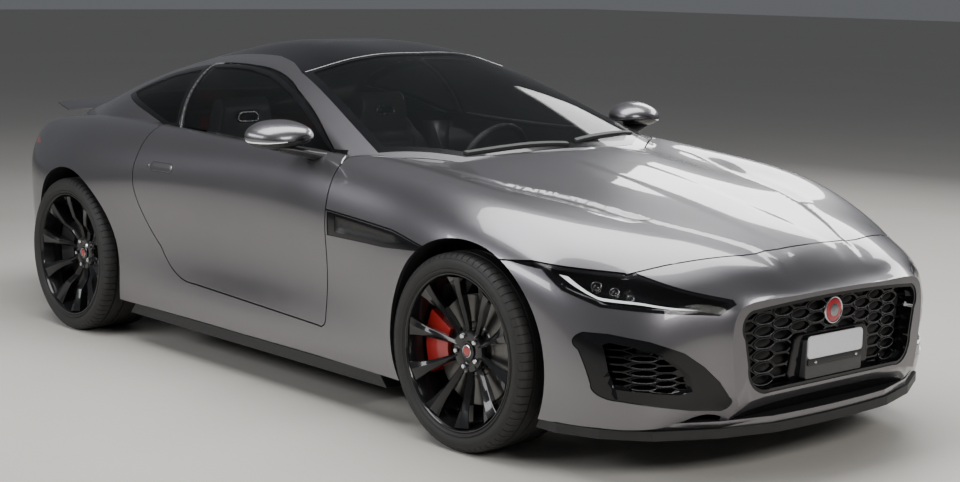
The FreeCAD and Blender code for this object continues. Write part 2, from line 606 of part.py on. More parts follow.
# Body shell: wings behind the front wheels, sills, pillars, roof rails and quarters.
shell = panel
for room in [front_limit, bonnet_zone(gap), tailgate_zone(gap), windscreen_zone, roof_zone, door_glass_zone,
             quarter_zone, door_zone(gap), mirrored(door_zone(gap)), rear_bumper_zone, tail_lamp_zone, vent_zone] + arches:
    shell = shell.cut(room)
sill_top = above(290)
sill = lower_solid.common(block(Vector(along(-840), across(690), 0), Vector(along(930), 1200, sill_top)))
post = core.common(block(Vector(along(602), across(690), above(250)), Vector(along(660), 1200, above(860))))
latch_post = core.common(block(Vector(along(-800), across(690), above(250)), Vector(along(-718), 1200, above(905))))
WALL = 12
firewall = core.common(block(Vector(along(640), across(-700), above(200)),
                             Vector(along(640) + WALL, across(700), above(880))))
striker = Part.makeCylinder(STRIKER_RADIUS, striker_place.x - along(-720), Vector(along(-720), striker_place.y,
                            striker_place.z), Vector(1, 0, 0))
JACK_LENGTH, JACK_WIDTH, JACK_FOOT = 80, 40, 158
jack_pads = []
for jack_x in (700, -640):
    low = place(jack_x, 718, JACK_FOOT) - Vector(JACK_LENGTH / 2, JACK_WIDTH / 2, 0)
    pad = block(low, low + Vector(JACK_LENGTH, JACK_WIDTH, above(186) - above(JACK_FOOT)))
    jack_pads += [pad, mirrored(pad)]
# Scuttle: the closed box under the windscreen's base, on top of the firewall.
SCUTTLE_BOTTOM, COWL_EDGE = 830, 60
scuttle = under_panel.cut(plan_prism(WINDSCREEN, grow=-COWL_EDGE)).common(
    plan_prism([(640, 720), (640, -720), (2000, -720), (2000, 720)], above(SCUTTLE_BOTTOM), 1600)).cut(
    plan_prism(BONNET_REAR, grow=gap))
# Gutter under the tailgate's edge, with the rubber rests that carry it when shut.
GUTTER_DROP, GUTTER_WALL, GUTTER_IN, GUTTER_OUT = 4, 8, 24, 20
under_gutter = body_solid(skin + GUTTER_DROP + GUTTER_WALL)
gutter_rim = under_panel.cut(under_gutter).common(tailgate_zone(GUTTER_OUT)).cut(tailgate_zone(gap)).cut(roof_zone)
gutter = body_solid(skin + GUTTER_DROP).cut(under_gutter).common(tailgate_zone(GUTTER_OUT)).cut(
    tailgate_zone(-GUTTER_IN))
gutter = gutter.fuse(gutter_rim).cut(side_prism(TAIL_LAMP, grow=seat))
shell = shell.fuse(jack_pads + [sill, mirrored(sill), post, mirrored(post), latch_post, mirrored(latch_post), firewall,
                    striker, mirrored(striker), scuttle, gutter]).cut(arches)
piece("body_shell", shell)
REST_RADIUS = 11
rest_room = body_solid(skin + seat).cut(body_solid(skin + GUTTER_DROP))
rests = [rest_room.common(Part.makeCylinder(REST_RADIUS, 600, Vector(along(x), across(y), 800)))
         for x, y in ((-1180, 484), (-1180, -484), (-1640, 462), (-1640, -462))]
piece("rubber_rests", Part.Compound(rests))

# Floor: flat pan with a tunnel, the wall behind the seats and the luggage floor.
FLOOR_TOP, FLOOR_BOTTOM = 196, 176
inside_sill = across(690) - seat
floor = block(Vector(along(-840), -inside_sill, above(FLOOR_BOTTOM)), Vector(along(640) - seat, inside_sill, above(FLOOR_TOP)))
tunnel = block(Vector(along(-840), -across(150), above(FLOOR_TOP)), Vector(along(640) - seat, across(150), above(430)))
tunnel = tunnel.cut(block(Vector(along(-900), -across(130), above(100)), Vector(along(700), across(130), above(412))))
floor = floor.cut(block(Vector(along(-900), -across(130), above(100)), Vector(along(700), across(130), above(412))))
rear_wall = block(Vector(along(-840), -inside_sill, above(FLOOR_BOTTOM)), Vector(along(-824), inside_sill, above(700)))
well_inner = size["wheel_well"] - 8
luggage = block(Vector(along(-2120), -well_inner, above(512)), Vector(along(-840), well_inner, above(528)))
floor_pan = union(floor, tunnel, rear_wall, luggage).common(core.fuse(block(Vector(-2000, -900, 0), Vector(2000, 900, 300))))
piece("floor_pan", floor_pan)

# Wheels are bodies in their own frame: the axle along Y, +Y out of the car.
SHEET_NAME = "Dimensions"


def sketched(body, name, plane, points):
    """A closed sketch on one of the body's planes. Each corner is a pair of formulas
    with the sheet's names in them, and keeps them as its dimensions."""
    sketch = body.newObject("Sketcher::SketchObject", name)
    origin_plane = [f for f in body.Origin.OriginFeatures if f.Role == plane][0]
    sketch.AttachmentSupport = (origin_plane, "")
    sketch.MapMode = "FlatFace"
    values = [[sheet_value(text) for text in point] for point in points]
    for k, (x, y) in enumerate(values):
        end = values[(k + 1) % len(values)]
        sketch.addGeometry(Part.LineSegment(Vector(x, y, 0), Vector(end[0], end[1], 0)), False)
    for k in range(len(points)):
        sketch.addConstraint(Sketcher.Constraint("Coincident", k, 2, (k + 1) % len(points), 1))
    for k, (x, y) in enumerate(values):
        for kind, value, text in (("DistanceX", x, points[k][0]), ("DistanceY", y, points[k][1])):
            number = sketch.addConstraint(Sketcher.Constraint(kind, -1, 1, k, 1, value))
            sketch.setExpression(f"Constraints[{number}]", sheet_formula(text))
    return sketch


def sheet_formula(text):
    """The formula with each of the sheet's names led by the sheet's own."""
    return re.sub(r"[a-z_]{3,}", lambda found: f"{SHEET_NAME}.{found.group()}", text)


def sheet_value(text):
    """What a formula of names, numbers, + - * / and brackets comes to."""
    probe.setExpression("Radius", sheet_formula("10000 + " + text))
    probe.recompute()
    return float(probe.Radius) - 10000


probe = doc.addObject("Part::Sphere", "Probe")


def new_body(name):
    body = doc.addObject("PartDesign::Body", name)
    body.Label = name
    return body


def origin_axis(body, role):
    return ([f for f in body.Origin.OriginFeatures if f.Role == role][0], [""])


def turned(body, name, points):
    """A profile (across, radius) turned about the axle."""
    sketch = sketched(body, name + "_profile", "YZ_Plane", points)
    turn = body.newObject("PartDesign::Revolution", name)
    turn.Profile = sketch
    turn.ReferenceAxis = origin_axis(body, "Y_Axis")
    turn.Angle = 360
    return turn


def make_tyre(name, end):
    wide, tall = f"{end}_tyre_width / 2", f"{end}_tyre_radius"
    body = new_body(name)
    half = [(f"{wide} - 12", "rim_radius + seat_gap"), (wide, f"rim_radius + ({tall} - rim_radius) * 0.4"),
            (f"{wide} - 4", f"{tall} - 24"), (f"{wide} - 16", f"{tall} - 7"), (f"{wide} - 40", tall)]
    other = [("-(" + across_ + ")", radius) for across_, radius in reversed(half)]
    turned(body, name + "_carcass", half + other)
    return body


def make_rim(name, end):
    wide = f"{end}_tyre_width / 2"
    body = new_body(name)
    barrel = [(f"{wide} - 10", "rim_radius"), (f"-({wide} - 10)", "rim_radius"),
              (f"-({wide} - 10)", "rim_radius - 12"), (f"{wide} - 10", "rim_radius - 12")]
    turned(body, name + "_barrel", barrel)
    face = f"{end}_hub_face"
    turned(body, name + "_hub", [("45", "0"), (f"{face} - 2", "0"), (face, "hub_radius - 16"),
                                 (f"{face} - 10", "hub_radius"), ("45", "hub_radius")])
    spoke = sketched(body, name + "_spoke", "YZ_Plane",
                     [("45", "hub_radius - 14"), (face, "hub_radius - 14"), (f"{wide} - 14", "rim_radius - 11"),
                      (f"{wide} - 46", "rim_radius - 11")])
    pad = body.newObject("PartDesign::Pad", name + "_spoke_pad")
    pad.Profile = spoke
    pad.Midplane = True
    pad.Length = 26
    doc.recompute()
    pattern = body.newObject("PartDesign::PolarPattern", name + "_spokes")
    pattern.Originals = [pad]
    pattern.Axis = origin_axis(body, "Y_Axis")
    pattern.Angle = 360
    pattern.Occurrences = int(size["spokes"])
    body.Tip = pattern
    return body


def make_disc(name):
    body = new_body(name)
    turned(body, name + "_rotor", [("10", "0"), ("44.7", "0"), ("44.7", "hub_radius - 2"),
                                   ("disc_width", "hub_radius"), ("disc_width", "disc_radius"), ("0", "disc_radius"),
                                   ("0", "hub_radius"), ("10", "hub_radius - 2")])
    return body


wheels = []
for corner, end, side in (("fl", "front", 1), ("fr", "front", -1), ("rl", "rear", 1), ("rr", "rear", -1)):
    where = Vector(hub[end].x, side * hub[end].y, hub[end].z)
    turn = FreeCAD.Rotation(Vector(0, 0, 1), 0 if side > 0 else 180)
    for body in (make_tyre(f"tyre_{corner}", end), make_rim(f"rim_{corner}", end), make_disc(f"disc_{corner}")):
        body.Placement = FreeCAD.Placement(where, turn)
        wheels.append(body)
doc.recompute()
doc.removeObject("Probe")

# Uprights, brakes and arms; a left one is drawn about its hub and mirrored.
KINGPIN = 27
KNUCKLE_TOP, KNUCKLE_BOTTOM = 190, -150


def upright(end):
    at = hub[end]
    stub = cylinder_across(at.x, at.y - 45, at.y + 10 - seat, at.z, size["hub_radius"] - 20)
    plate = block(at + Vector(-34, -45, KNUCKLE_BOTTOM), at + Vector(34, -12, KNUCKLE_TOP))
    ear = block(at + Vector(-170, -45, -36), at + Vector(0, -25 - seat, 36))
    return union(stub, plate, ear)


def caliper(end):
    at = hub[end]
    ring = cylinder_across(at.x, at.y - 25, at.y + 52, at.z, 236)
    ring = ring.cut(cylinder_across(at.x, at.y - 30, at.y + 60, at.z, 122))
    sector = side_wedge(at, 250, 152, 208)
    rotor_room = cylinder_across(at.x, at.y - 2, at.y + size["disc_width"] + 2, at.z, size["disc_radius"] + 4)
    return ring.common(sector).cut(rotor_room)


def side_wedge(at, reach, from_angle, to_angle):
    """A wedge about the hub, seen from the side; angles from +X towards +Z."""
    corners = [Vector(at.x, at.y - 100, at.z)]
    for angle in (from_angle, (from_angle + to_angle) / 2, to_angle):
        turn = math.radians(angle)
        corners.append(corners[0] + Vector(math.cos(turn), 0, math.sin(turn)) * reach * 1.2)
    return Part.Face(Part.makePolygon(corners + corners[:1])).extrude(Vector(0, 300, 0))


def arm(end, z_low, z_high, spread):
    at = hub[end]
    points = [(-spread, -at.y + 420), (spread, -at.y + 420), (24, -KINGPIN + 12), (-24, -KINGPIN + 12)]
    corners = [at + Vector(x, y, z_low) for x, y in points]
    return Part.Face(Part.makePolygon(corners + corners[:1])).extrude(Vector(0, 0, z_high - z_low))


def arms(end):
    lower = arm(end, KNUCKLE_BOTTOM - 24, KNUCKLE_BOTTOM - seat, 150)
    upper = arm(end, KNUCKLE_TOP + seat, KNUCKLE_TOP + 16, 90)
    return [lower, upper]


front_upright, front_caliper = upright("front"), caliper("front")
piece("knuckle_fl", front_upright)
piece("knuckle_fr", mirrored(front_upright))
piece("caliper_fl", front_caliper)
piece("caliper_fr", mirrored(front_caliper))
piece("rear_knuckles", both_sides(upright("rear")))
piece("rear_calipers", both_sides(caliper("rear")))
piece("suspension_arms", Part.Compound([copy for end in hub for one in arms(end) for copy in (one, mirrored(one))]))

# Frame members: rails, cross members, the bumper beam and the bonnet's pivots.
RAIL_IN, RAIL_OUT = 380, 420 - seat


def frame_end(end):
    at = hub[end]
    cross = block(Vector(at.x - 160, -RAIL_OUT, at.z + KNUCKLE_BOTTOM - 24), Vector(at.x + 160, RAIL_OUT, at.z - 122))
    tower = block(Vector(at.x - 95, RAIL_IN, at.z - 130), Vector(at.x + 95, RAIL_OUT, at.z + KNUCKLE_TOP - 25))
    return [cross, tower, mirrored(tower)]


rail = block(Vector(along(640) + WALL, RAIL_IN, above(330)), Vector(along(2050), RAIL_OUT, above(430)))
beam = block(Vector(along(2050), -across(540), above(330)), Vector(along(2095), across(540), above(430)))
bracket = side_prism([(2080, 340), (2140, 560), (2140, 604), (2172, 604), (2172, 574), (2120, 340)],
                     ARM_Y + ARM_THICK + seat, ARM_Y + ARM_THICK + 12)
pin = cylinder_across(PIVOT.x, ARM_Y - 2, ARM_Y + ARM_THICK + 4, PIVOT.z, size["pivot_pin"])
bracket = bracket.fuse(pin)
front_frame = union(rail, mirrored(rail), beam, bracket, mirrored(bracket), *frame_end("front"))
piece("front_frame", front_frame)
piece("rear_frame", union(*frame_end("rear"), block(Vector(along(-840), RAIL_IN, above(330)) - Vector(500, 0, 0),
                                                    Vector(along(-840) - seat, RAIL_OUT, above(430)))))
engine_half = RAIL_IN - seat
piece("engine_block", block(Vector(along(760), -engine_half, hub["front"].z - 121),
                            Vector(along(1420), engine_half, above(640))))

# Wheel arch liners: a thin hoop over each wheel, just inside the panels.
LINER = 5


def liner(end):
    hoop = arch(end, LINER + seat).cut(arch(end, seat, -10))
    inside_panels = body_solid(skin + seat)
    roomy = block(Vector(-3000, -1500, above(240)), Vector(3000, 1500, above(1200)))
    return hoop.common(inside_panels).common(roomy)


liners = [liner("front"), liner("rear")]
piece("wheel_arch_liners", Part.Compound(liners + [mirrored(one) for one in liners]))

# Trim low on the body.
piece("front_splitter", plan_prism(SPLITTER, SPLITTER_LOW, SPLITTER_TOP).cut(arches))
skirt = side_prism([(-842, 138), (-800, 181), (900, 181), (938, 138)], across(745), across(884)).cut(arches)
piece("side_skirts", both_sides(skirt))

diffuser_shape = [(-1720, 176), (-2080, 200), (-2150, 240), (-2150, 325), (-1900, 325), (-1720, 300)]
diffuser = side_prism(diffuser_shape, -across(490), across(490)).cut(panel)

diffuser = diffuser.cut([tip(y, z, TIP_RADIUS + seat, -1955) for y, z in tip_places])
piece("rear_diffuser", diffuser)
piece("exhaust_tips", Part.Compound([tip(y, z, TIP_RADIUS).cut(tip(y, z, TIP_RADIUS - TIP_WALL, -1990, -2300))
                                     for y, z in tip_places]))

# Openings in the nose and the pieces behind them.
GRILLE_DEPTH, GRILLE_THICK, GRILLE_BORDER = 22, 14, 12
PLINTH_WIDE, PLINTH_DOWN, PLINTH_UP = 120, 60, 30
FRAME_DROP = 3
plate_x, plate_z = along(2216), above(406)
grille_face = body_solid(skin + GRILLE_DEPTH)
grille = grille_face.cut(body_solid(skin + GRILLE_DEPTH + GRILLE_THICK)).common(
    front_prism(GRILLE, 2000, 2400, grow=-seat))
plinth_outline = [(-PLINTH_WIDE - 8, plate_z - PLINTH_DOWN - 8), (PLINTH_WIDE + 8, plate_z - PLINTH_DOWN - 8),
                  (PLINTH_WIDE + 8, plate_z + PLINTH_UP + 8), (-PLINTH_WIDE - 8, plate_z + PLINTH_UP + 8)]
grille = grille.cut(honeycomb(GRILLE, GRILLE_BORDER, size["grille_pitch_across"], size["grille_pitch_up"],
                              size["grille_wall"], plinth_outline))
opening_frame = body_solid(FRAME_DROP).cut(body_solid(skin + GRILLE_DEPTH + GRILLE_THICK)).common(
    front_prism(GRILLE, 2000, 2400, grow=-seat)).cut(front_prism(GRILLE, 2000, 2400, grow=-GRILLE_BORDER))
piece("main_grille", grille.fuse(opening_frame))

# Side intakes: a dark surround let into the bumper, and a deeper mesh in its middle.
INTAKE_MESH = [(592, 309), (634, 299), (722, 308), (791, 316), (805, 373), (811, 454), (799, 463), (735, 447),
               (677, 422), (610, 365)]
INTAKE_DROP, MESH_DEPTH, MESH_THICK, MESH_WALL = 4, 12, 10, 5
surround = body_solid(INTAKE_DROP).cut(body_solid(skin + MESH_DEPTH)).common(
    front_prism(INTAKE, 1700, 2400, grow=-seat)).cut(front_prism(INTAKE_MESH, 1700, 2400))
mesh = body_solid(skin + MESH_DEPTH - 1).cut(body_solid(skin + MESH_DEPTH + MESH_THICK)).common(
    front_prism(INTAKE_MESH, 1700, 2400, grow=8))
mesh = mesh.cut(honeycomb(INTAKE_MESH, 1, size["intake_pitch_across"], size["intake_pitch_up"], MESH_WALL))
piece("side_intakes", both_sides(surround.fuse(mesh)))
PLATE_HOLES, PLATE_HOLE_RADIUS = 264, 3.5
PLATE_HALF, PLATE_HALF_HIGH, PLATE_THICK = 146, 38, 6
plate = block(Vector(plate_x, -PLATE_HALF, plate_z - PLATE_HALF_HIGH),
              Vector(plate_x + PLATE_THICK, PLATE_HALF, plate_z + PLATE_HALF_HIGH))
plinth = block(Vector(plate_x - 60, -PLINTH_WIDE, plate_z - PLINTH_DOWN),
               Vector(plate_x, PLINTH_WIDE, plate_z + PLINTH_UP))
plate = plate.fuse(plinth.cut(body_solid(skin + GRILLE_DEPTH - seat)))
plate = plate.cut([Part.makeCylinder(PLATE_HOLE_RADIUS, 60, Vector(plate_x - 30, side * PLATE_HOLES / 2, plate_z),
                                     Vector(1, 0, 0)) for side in (-1, 1)])
piece("number_plate", plate)

# Cabin: seats, dashboard and steering wheel.
# A seat is a low cushion and a tall back, both with raised wings at their sides, drawn
# about its own middle; seen from in front it narrows to the head part with its slot.
CUSHION = [(-142, 196), (-130, 368), (-172, 384), (-520, 330), (-600, 330), (-640, 196)]
CUSHION_WING = [(-172, 196), (-154, 380), (-208, 414), (-480, 392), (-600, 360), (-640, 196)]
BACK = [(-500, 330), (-560, 470), (-690, 880), (-684, 1010), (-716, 1056), (-776, 1050), (-800, 960), (-660, 330)]
BACK_WING = [(-515, 340), (-530, 480), (-640, 830), (-716, 900), (-790, 900), (-660, 340)]
SEAT_FRONT = [(-220, 190), (220, 190), (228, 690), (206, 850), (140, 930), (122, 1062), (-122, 1062), (-140, 930),
              (-206, 850), (-228, 690)]
SEAT_WING_IN, SEAT_HALF = 138, 228
HEAD_SLOT_HALF, HEAD_SLOT_LOW, HEAD_SLOT_HIGH = 52, 952, 984
SEAT_Y = 380
one_seat = union(side_prism(CUSHION, -SEAT_HALF, SEAT_HALF), side_prism(BACK, -SEAT_HALF, SEAT_HALF),
                 *[side_prism(wing, side * SEAT_WING_IN if side > 0 else -SEAT_HALF,
                              SEAT_HALF if side > 0 else -SEAT_WING_IN)
                   for wing in (CUSHION_WING, BACK_WING) for side in (1, -1)])
one_seat = one_seat.common(front_prism(SEAT_FRONT, -2000, 2000)).cut(
    block(Vector(-2000, -HEAD_SLOT_HALF, above(HEAD_SLOT_LOW)), Vector(2000, HEAD_SLOT_HALF, above(HEAD_SLOT_HIGH))))
one_seat.translate(Vector(0, across(SEAT_Y), seat))
piece("seats", both_sides(one_seat))
DASH = [(640, 560), (640, 870), (520, 905), (330, 880), (250, 810), (268, 700), (380, 600), (480, 540)]
dashboard = side_prism(DASH, -across(684), across(684)).common(core)
dashboard.translate(Vector(-seat, 0, 0))
WHEEL_PLACE = Vector(along(80), across(370), above(800))
COLUMN_TILT = 24
rim_ring = Part.makeTorus(size["steering_wheel_radius"] - 15, 15)
boss = Part.makeCylinder(58, 40, Vector(0, 0, -22))
COLUMN_END = 110
column = Part.makeCylinder(28, COLUMN_END - seat, Vector(0, 0, -COLUMN_END + seat))
shroud = Part.makeCylinder(36, 160, Vector(0, 0, -COLUMN_END - 160))
spoke_bar = Part.makeBox(2 * size["steering_wheel_radius"] - 40, 34, 14,
                         Vector(-size["steering_wheel_radius"] + 20, -17, -7))
lower_spoke = Part.makeBox(30, size["steering_wheel_radius"] - 25, 12, Vector(-15, -size["steering_wheel_radius"] + 25, -6))
steering_wheel = union(rim_ring, boss, column, spoke_bar, lower_spoke)
steering_wheel.rotate(Vector(0, 0, 0), Vector(0, 0, 1), -90)
for turned_piece in (steering_wheel, shroud):
    turned_piece.rotate(Vector(0, 0, 0), Vector(0, 1, 0), -90 + COLUMN_TILT)
    turned_piece.translate(WHEEL_PLACE)
piece("dashboard", dashboard.fuse(shroud))
piece("steering_wheel", steering_wheel)

# Mirrors, wipers and spoiler.
def upright_ellipse(x, y, z, half_wide, half_high):
    """A wire in a plane square to the car's length."""
    ring = Part.Ellipse(Vector(0, 0, 0), half_wide, half_high).toShape()
    ring.rotate(Vector(0, 0, 0), Vector(0, 0, 1), 90)
    ring.rotate(Vector(0, 0, 0), Vector(0, 1, 0), 90)
    ring.translate(Vector(x, y, z))
    return Part.Wire([ring])


# Sections of a mirror's head: how far before its glass, half width and half height.
MIRROR_SECTIONS = [(0, 122, 58), (18, 128, 63), (60, 126, 60), (105, 108, 49), (138, 74, 32), (152, 26, 11)]
MIRROR_PLACE = Vector(along(318), across(948), above(988))
mirror_form = Part.makeLoft([upright_ellipse(MIRROR_PLACE.x + ahead, MIRROR_PLACE.y - ahead / 8, MIRROR_PLACE.z,
                                             half_wide, half_high)
                             for ahead, half_wide, half_high in MIRROR_SECTIONS], True)
mirror_foot = block(place(385, 780, 890), place(450, 905, 950))
under_mirror = block(MIRROR_PLACE - Vector(50, 200, 200), MIRROR_PLACE + Vector(300, 200, -50))
mirror = mirror_form.cut(under_mirror).fuse(mirror_foot).cut(outer)
mirror = max(mirror.Solids, key=lambda s: s.Volume)
piece("mirror_left", mirror)
piece("mirror_right", mirrored(mirror))

SPOILER = [(-2020, 900), (-2200, 930), (-2206, 938), (-2020, 925)]
spoiler = side_prism(SPOILER, -across(420), across(420)).cut(outer)
spoiler = max(spoiler.Solids, key=lambda s: s.Volume)
piece("rear_spoiler", spoiler)


# Wipers: two blades that follow the windscreen just off its face, each with its arm.
WIPER_BLADES = [[(844, 110), (859, 110), (722, 560), (708, 554)], [(815, -432), (830, -424), (880, 50), (865, 50)]]
WIPER_HEIGHT = 9
over_glass, on_glass = tube(section_grid(GREENHOUSE, -WIPER_HEIGHT)), tube(section_grid(GREENHOUSE, -seat))
piece("wipers", Part.Compound([plan_prism(blade, 930, 1200).common(over_glass).cut(on_glass) for blade in WIPER_BLADES]))

EXPORTED = [o for o in doc.Objects if o.TypeId in ("PartDesign::Body", "Part::Feature")]
faults = [o.Label for o in doc.Objects if {"Invalid", "Error"} & set(o.State)]
faults += [o.Label for o in EXPORTED if o.Shape.isNull() or not o.Shape.isValid()]
if faults:
    raise SystemExit("not sound: " + ", ".join(faults))
os.makedirs("parts", exist_ok=True)
for finished in EXPORTED:
    finished.Shape.exportStep(f"parts/{finished.Label}.step")
    print(finished.Label, len(finished.Shape.Solids), round(finished.Shape.Volume / 1e6, 2))
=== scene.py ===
import json
import math
import bmesh
import bpy
import numpy as np
from mathutils import Matrix, Vector
from mathutils.kdtree import KDTree

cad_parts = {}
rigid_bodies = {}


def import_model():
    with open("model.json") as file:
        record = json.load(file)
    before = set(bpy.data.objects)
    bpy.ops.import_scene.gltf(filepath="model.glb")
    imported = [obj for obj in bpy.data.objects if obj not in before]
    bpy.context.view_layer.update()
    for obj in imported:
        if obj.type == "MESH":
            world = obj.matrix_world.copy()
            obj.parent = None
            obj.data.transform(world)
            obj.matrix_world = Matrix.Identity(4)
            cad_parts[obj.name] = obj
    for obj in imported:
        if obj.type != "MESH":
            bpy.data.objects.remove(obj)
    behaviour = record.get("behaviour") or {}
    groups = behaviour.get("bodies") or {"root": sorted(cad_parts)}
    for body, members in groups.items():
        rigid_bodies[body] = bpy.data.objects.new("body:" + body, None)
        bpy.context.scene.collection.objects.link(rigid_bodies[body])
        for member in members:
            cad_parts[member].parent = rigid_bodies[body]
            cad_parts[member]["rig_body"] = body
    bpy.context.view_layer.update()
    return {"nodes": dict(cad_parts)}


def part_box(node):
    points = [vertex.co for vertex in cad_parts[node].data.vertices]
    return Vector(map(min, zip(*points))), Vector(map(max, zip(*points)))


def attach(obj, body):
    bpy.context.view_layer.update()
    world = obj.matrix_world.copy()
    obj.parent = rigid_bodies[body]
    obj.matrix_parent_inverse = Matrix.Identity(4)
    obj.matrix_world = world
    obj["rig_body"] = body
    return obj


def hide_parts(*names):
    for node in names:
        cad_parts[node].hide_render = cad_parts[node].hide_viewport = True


# A two-seat coupe car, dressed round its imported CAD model. Metres; +X to the nose,
# +Y to the car's left, +Z up.
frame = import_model()
nodes = frame["nodes"]

# Camera: stands ahead of the car's right front corner at eye height, with the long lens
# and the slight upward shift that give the photograph's view.
eye = Vector((5.708, -4.643, 1.587))
yaw, pitch, roll = (math.radians(angle) for angle in (138.686, -9.345, 0.881))
forward = Vector((math.cos(yaw) * math.cos(pitch), math.sin(yaw) * math.cos(pitch), math.sin(pitch)))
level_right = Vector((math.sin(yaw), -math.cos(yaw), 0))
level_up = level_right.cross(forward)
right = level_right * math.cos(roll) + level_up * math.sin(roll)
up = level_up * math.cos(roll) - level_right * math.sin(roll)
camera_data = bpy.data.cameras.new("camera")
camera_data.sensor_width, camera_data.lens, camera_data.shift_y = 36.0, 65.59, 0.0243
camera = bpy.data.objects.new("camera", camera_data)
bpy.context.scene.collection.objects.link(camera)
camera.matrix_world = Matrix([(right[k], up[k], -forward[k], eye[k]) for k in range(3)] + [(0, 0, 0, 1)])
bpy.context.scene.camera = camera


class Socket:
    """A value in a material's node tree. Arithmetic on it adds Math nodes, and add() any other node."""

    def __init__(self, tree, out):
        self.tree, self.out = tree, out

    def add(self, kind, settings=(), inputs=(), output=0):
        node = self.tree.nodes.new(kind)
        for key, value in dict(settings).items():
            setattr(node, key, value)
        for key, value in dict(inputs).items():
            if isinstance(value, Socket):
                self.tree.links.new(value.out, node.inputs[key])
            else:
                node.inputs[key].default_value = value
        return Socket(self.tree, node.outputs[output])

    def math(self, operation, first, second):
        return self.add("ShaderNodeMath", {"operation": operation}, {0: first, 1: second})

    def __add__(self, other):
        return self.math("ADD", self, other)

    def __mul__(self, other):
        return self.math("MULTIPLY", self, other)

    def noise(self, scale, detail=2.0, roughness=0.5):
        return self.add("ShaderNodeTexNoise", {}, {"Vector": self, "Scale": scale, "Detail": detail,
                                                   "Roughness": roughness})

    def blend(self, low, high):
        """A colour between two, by this value."""
        return self.add("ShaderNodeMix", {"data_type": "RGBA"}, {0: self, 6: (*low, 1), 7: (*high, 1)}, 2)

    def bump(self, strength, distance):
        return self.add("ShaderNodeBump", {}, {"Height": self, "Strength": strength, "Distance": distance})


def new_finish(name, plain):
    """A material, a function that feeds its shader, and the object's own coordinates."""
    made = bpy.data.materials.new(name)
    made.use_nodes = True
    tree = made.node_tree
    shader = tree.nodes["Principled BSDF"]
    for key, value in plain.items():
        shader.inputs[key].default_value = value
    where = Socket(tree, tree.nodes.new("ShaderNodeTexCoord").outputs["Object"])

    def feed(key, value):
        tree.links.new(value.out, shader.inputs[key])

    return made, feed, where


# Studio: a pale plain concrete floor that runs to the horizon, under a wide soft ceiling
# light, with long soft boxes ahead and on both sides and a weak one in the cabin.
floor_finish, feed, where = new_finish("floor_concrete", {"Specular IOR Level": 0.3})
cloud = where.noise(0.35, 4.0, 0.6)
grain = where.noise(38.0, 3.0, 0.6)
feed("Base Color", (cloud * 0.8 + grain * 0.2).blend((0.50, 0.475, 0.43), (0.66, 0.64, 0.60)))
feed("Roughness", cloud * 0.25 + 0.38)
feed("Normal", grain.bump(0.12, 0.002))
floor_mesh = bpy.data.meshes.new("floor")
reach = 60.0
floor_mesh.from_pydata([(-reach, -reach, 0), (reach, -reach, 0), (reach, reach, 0), (-reach, reach, 0)], [],
                       [(0, 1, 2, 3)])
floor_mesh.materials.append(floor_finish)
floor = bpy.data.objects.new("floor", floor_mesh)
bpy.context.scene.collection.objects.link(floor)

world = bpy.data.worlds.new("studio")
world.use_nodes = True
world.node_tree.nodes["Background"].inputs["Color"].default_value = (0.52, 0.54, 0.58, 1)
world.node_tree.nodes["Background"].inputs["Strength"].default_value = 0.24
bpy.context.scene.world = world


def soft_box(name, place, target, wide, high, watts, colour=(1, 1, 1)):
    """A rectangular light at a place, facing a target."""
    lamp = bpy.data.lights.new(name, "AREA")
    lamp.shape, lamp.size, lamp.size_y, lamp.energy, lamp.color = "RECTANGLE", wide, high, watts, colour
    made = bpy.data.objects.new(name, lamp)
    made.location = place
    made.rotation_euler = (Vector(target) - Vector(place)).to_track_quat("-Z", "Y").to_euler()
    bpy.context.scene.collection.objects.link(made)


soft_box("ceiling_light", (0.3, 0.0, 4.6), (0, 0, 0), 7.5, 2.6, 400)
soft_box("front_light", (6.5, -1.0, 3.4), (1.2, -0.2, 0.5), 3.5, 1.5, 170, (1.0, 0.98, 0.95))
soft_box("side_light", (-1.5, -6.5, 3.2), (-0.3, 0, 0.5), 6.0, 1.3, 210, (0.96, 0.98, 1.0))
soft_box("cabin_light", (-0.05, 0.0, 1.13), (-0.45, 0, 0.5), 0.5, 0.8, 5)
soft_box("far_light", (-1.0, 6.5, 3.6), (0, 0, 0.6), 6.0, 1.4, 170)

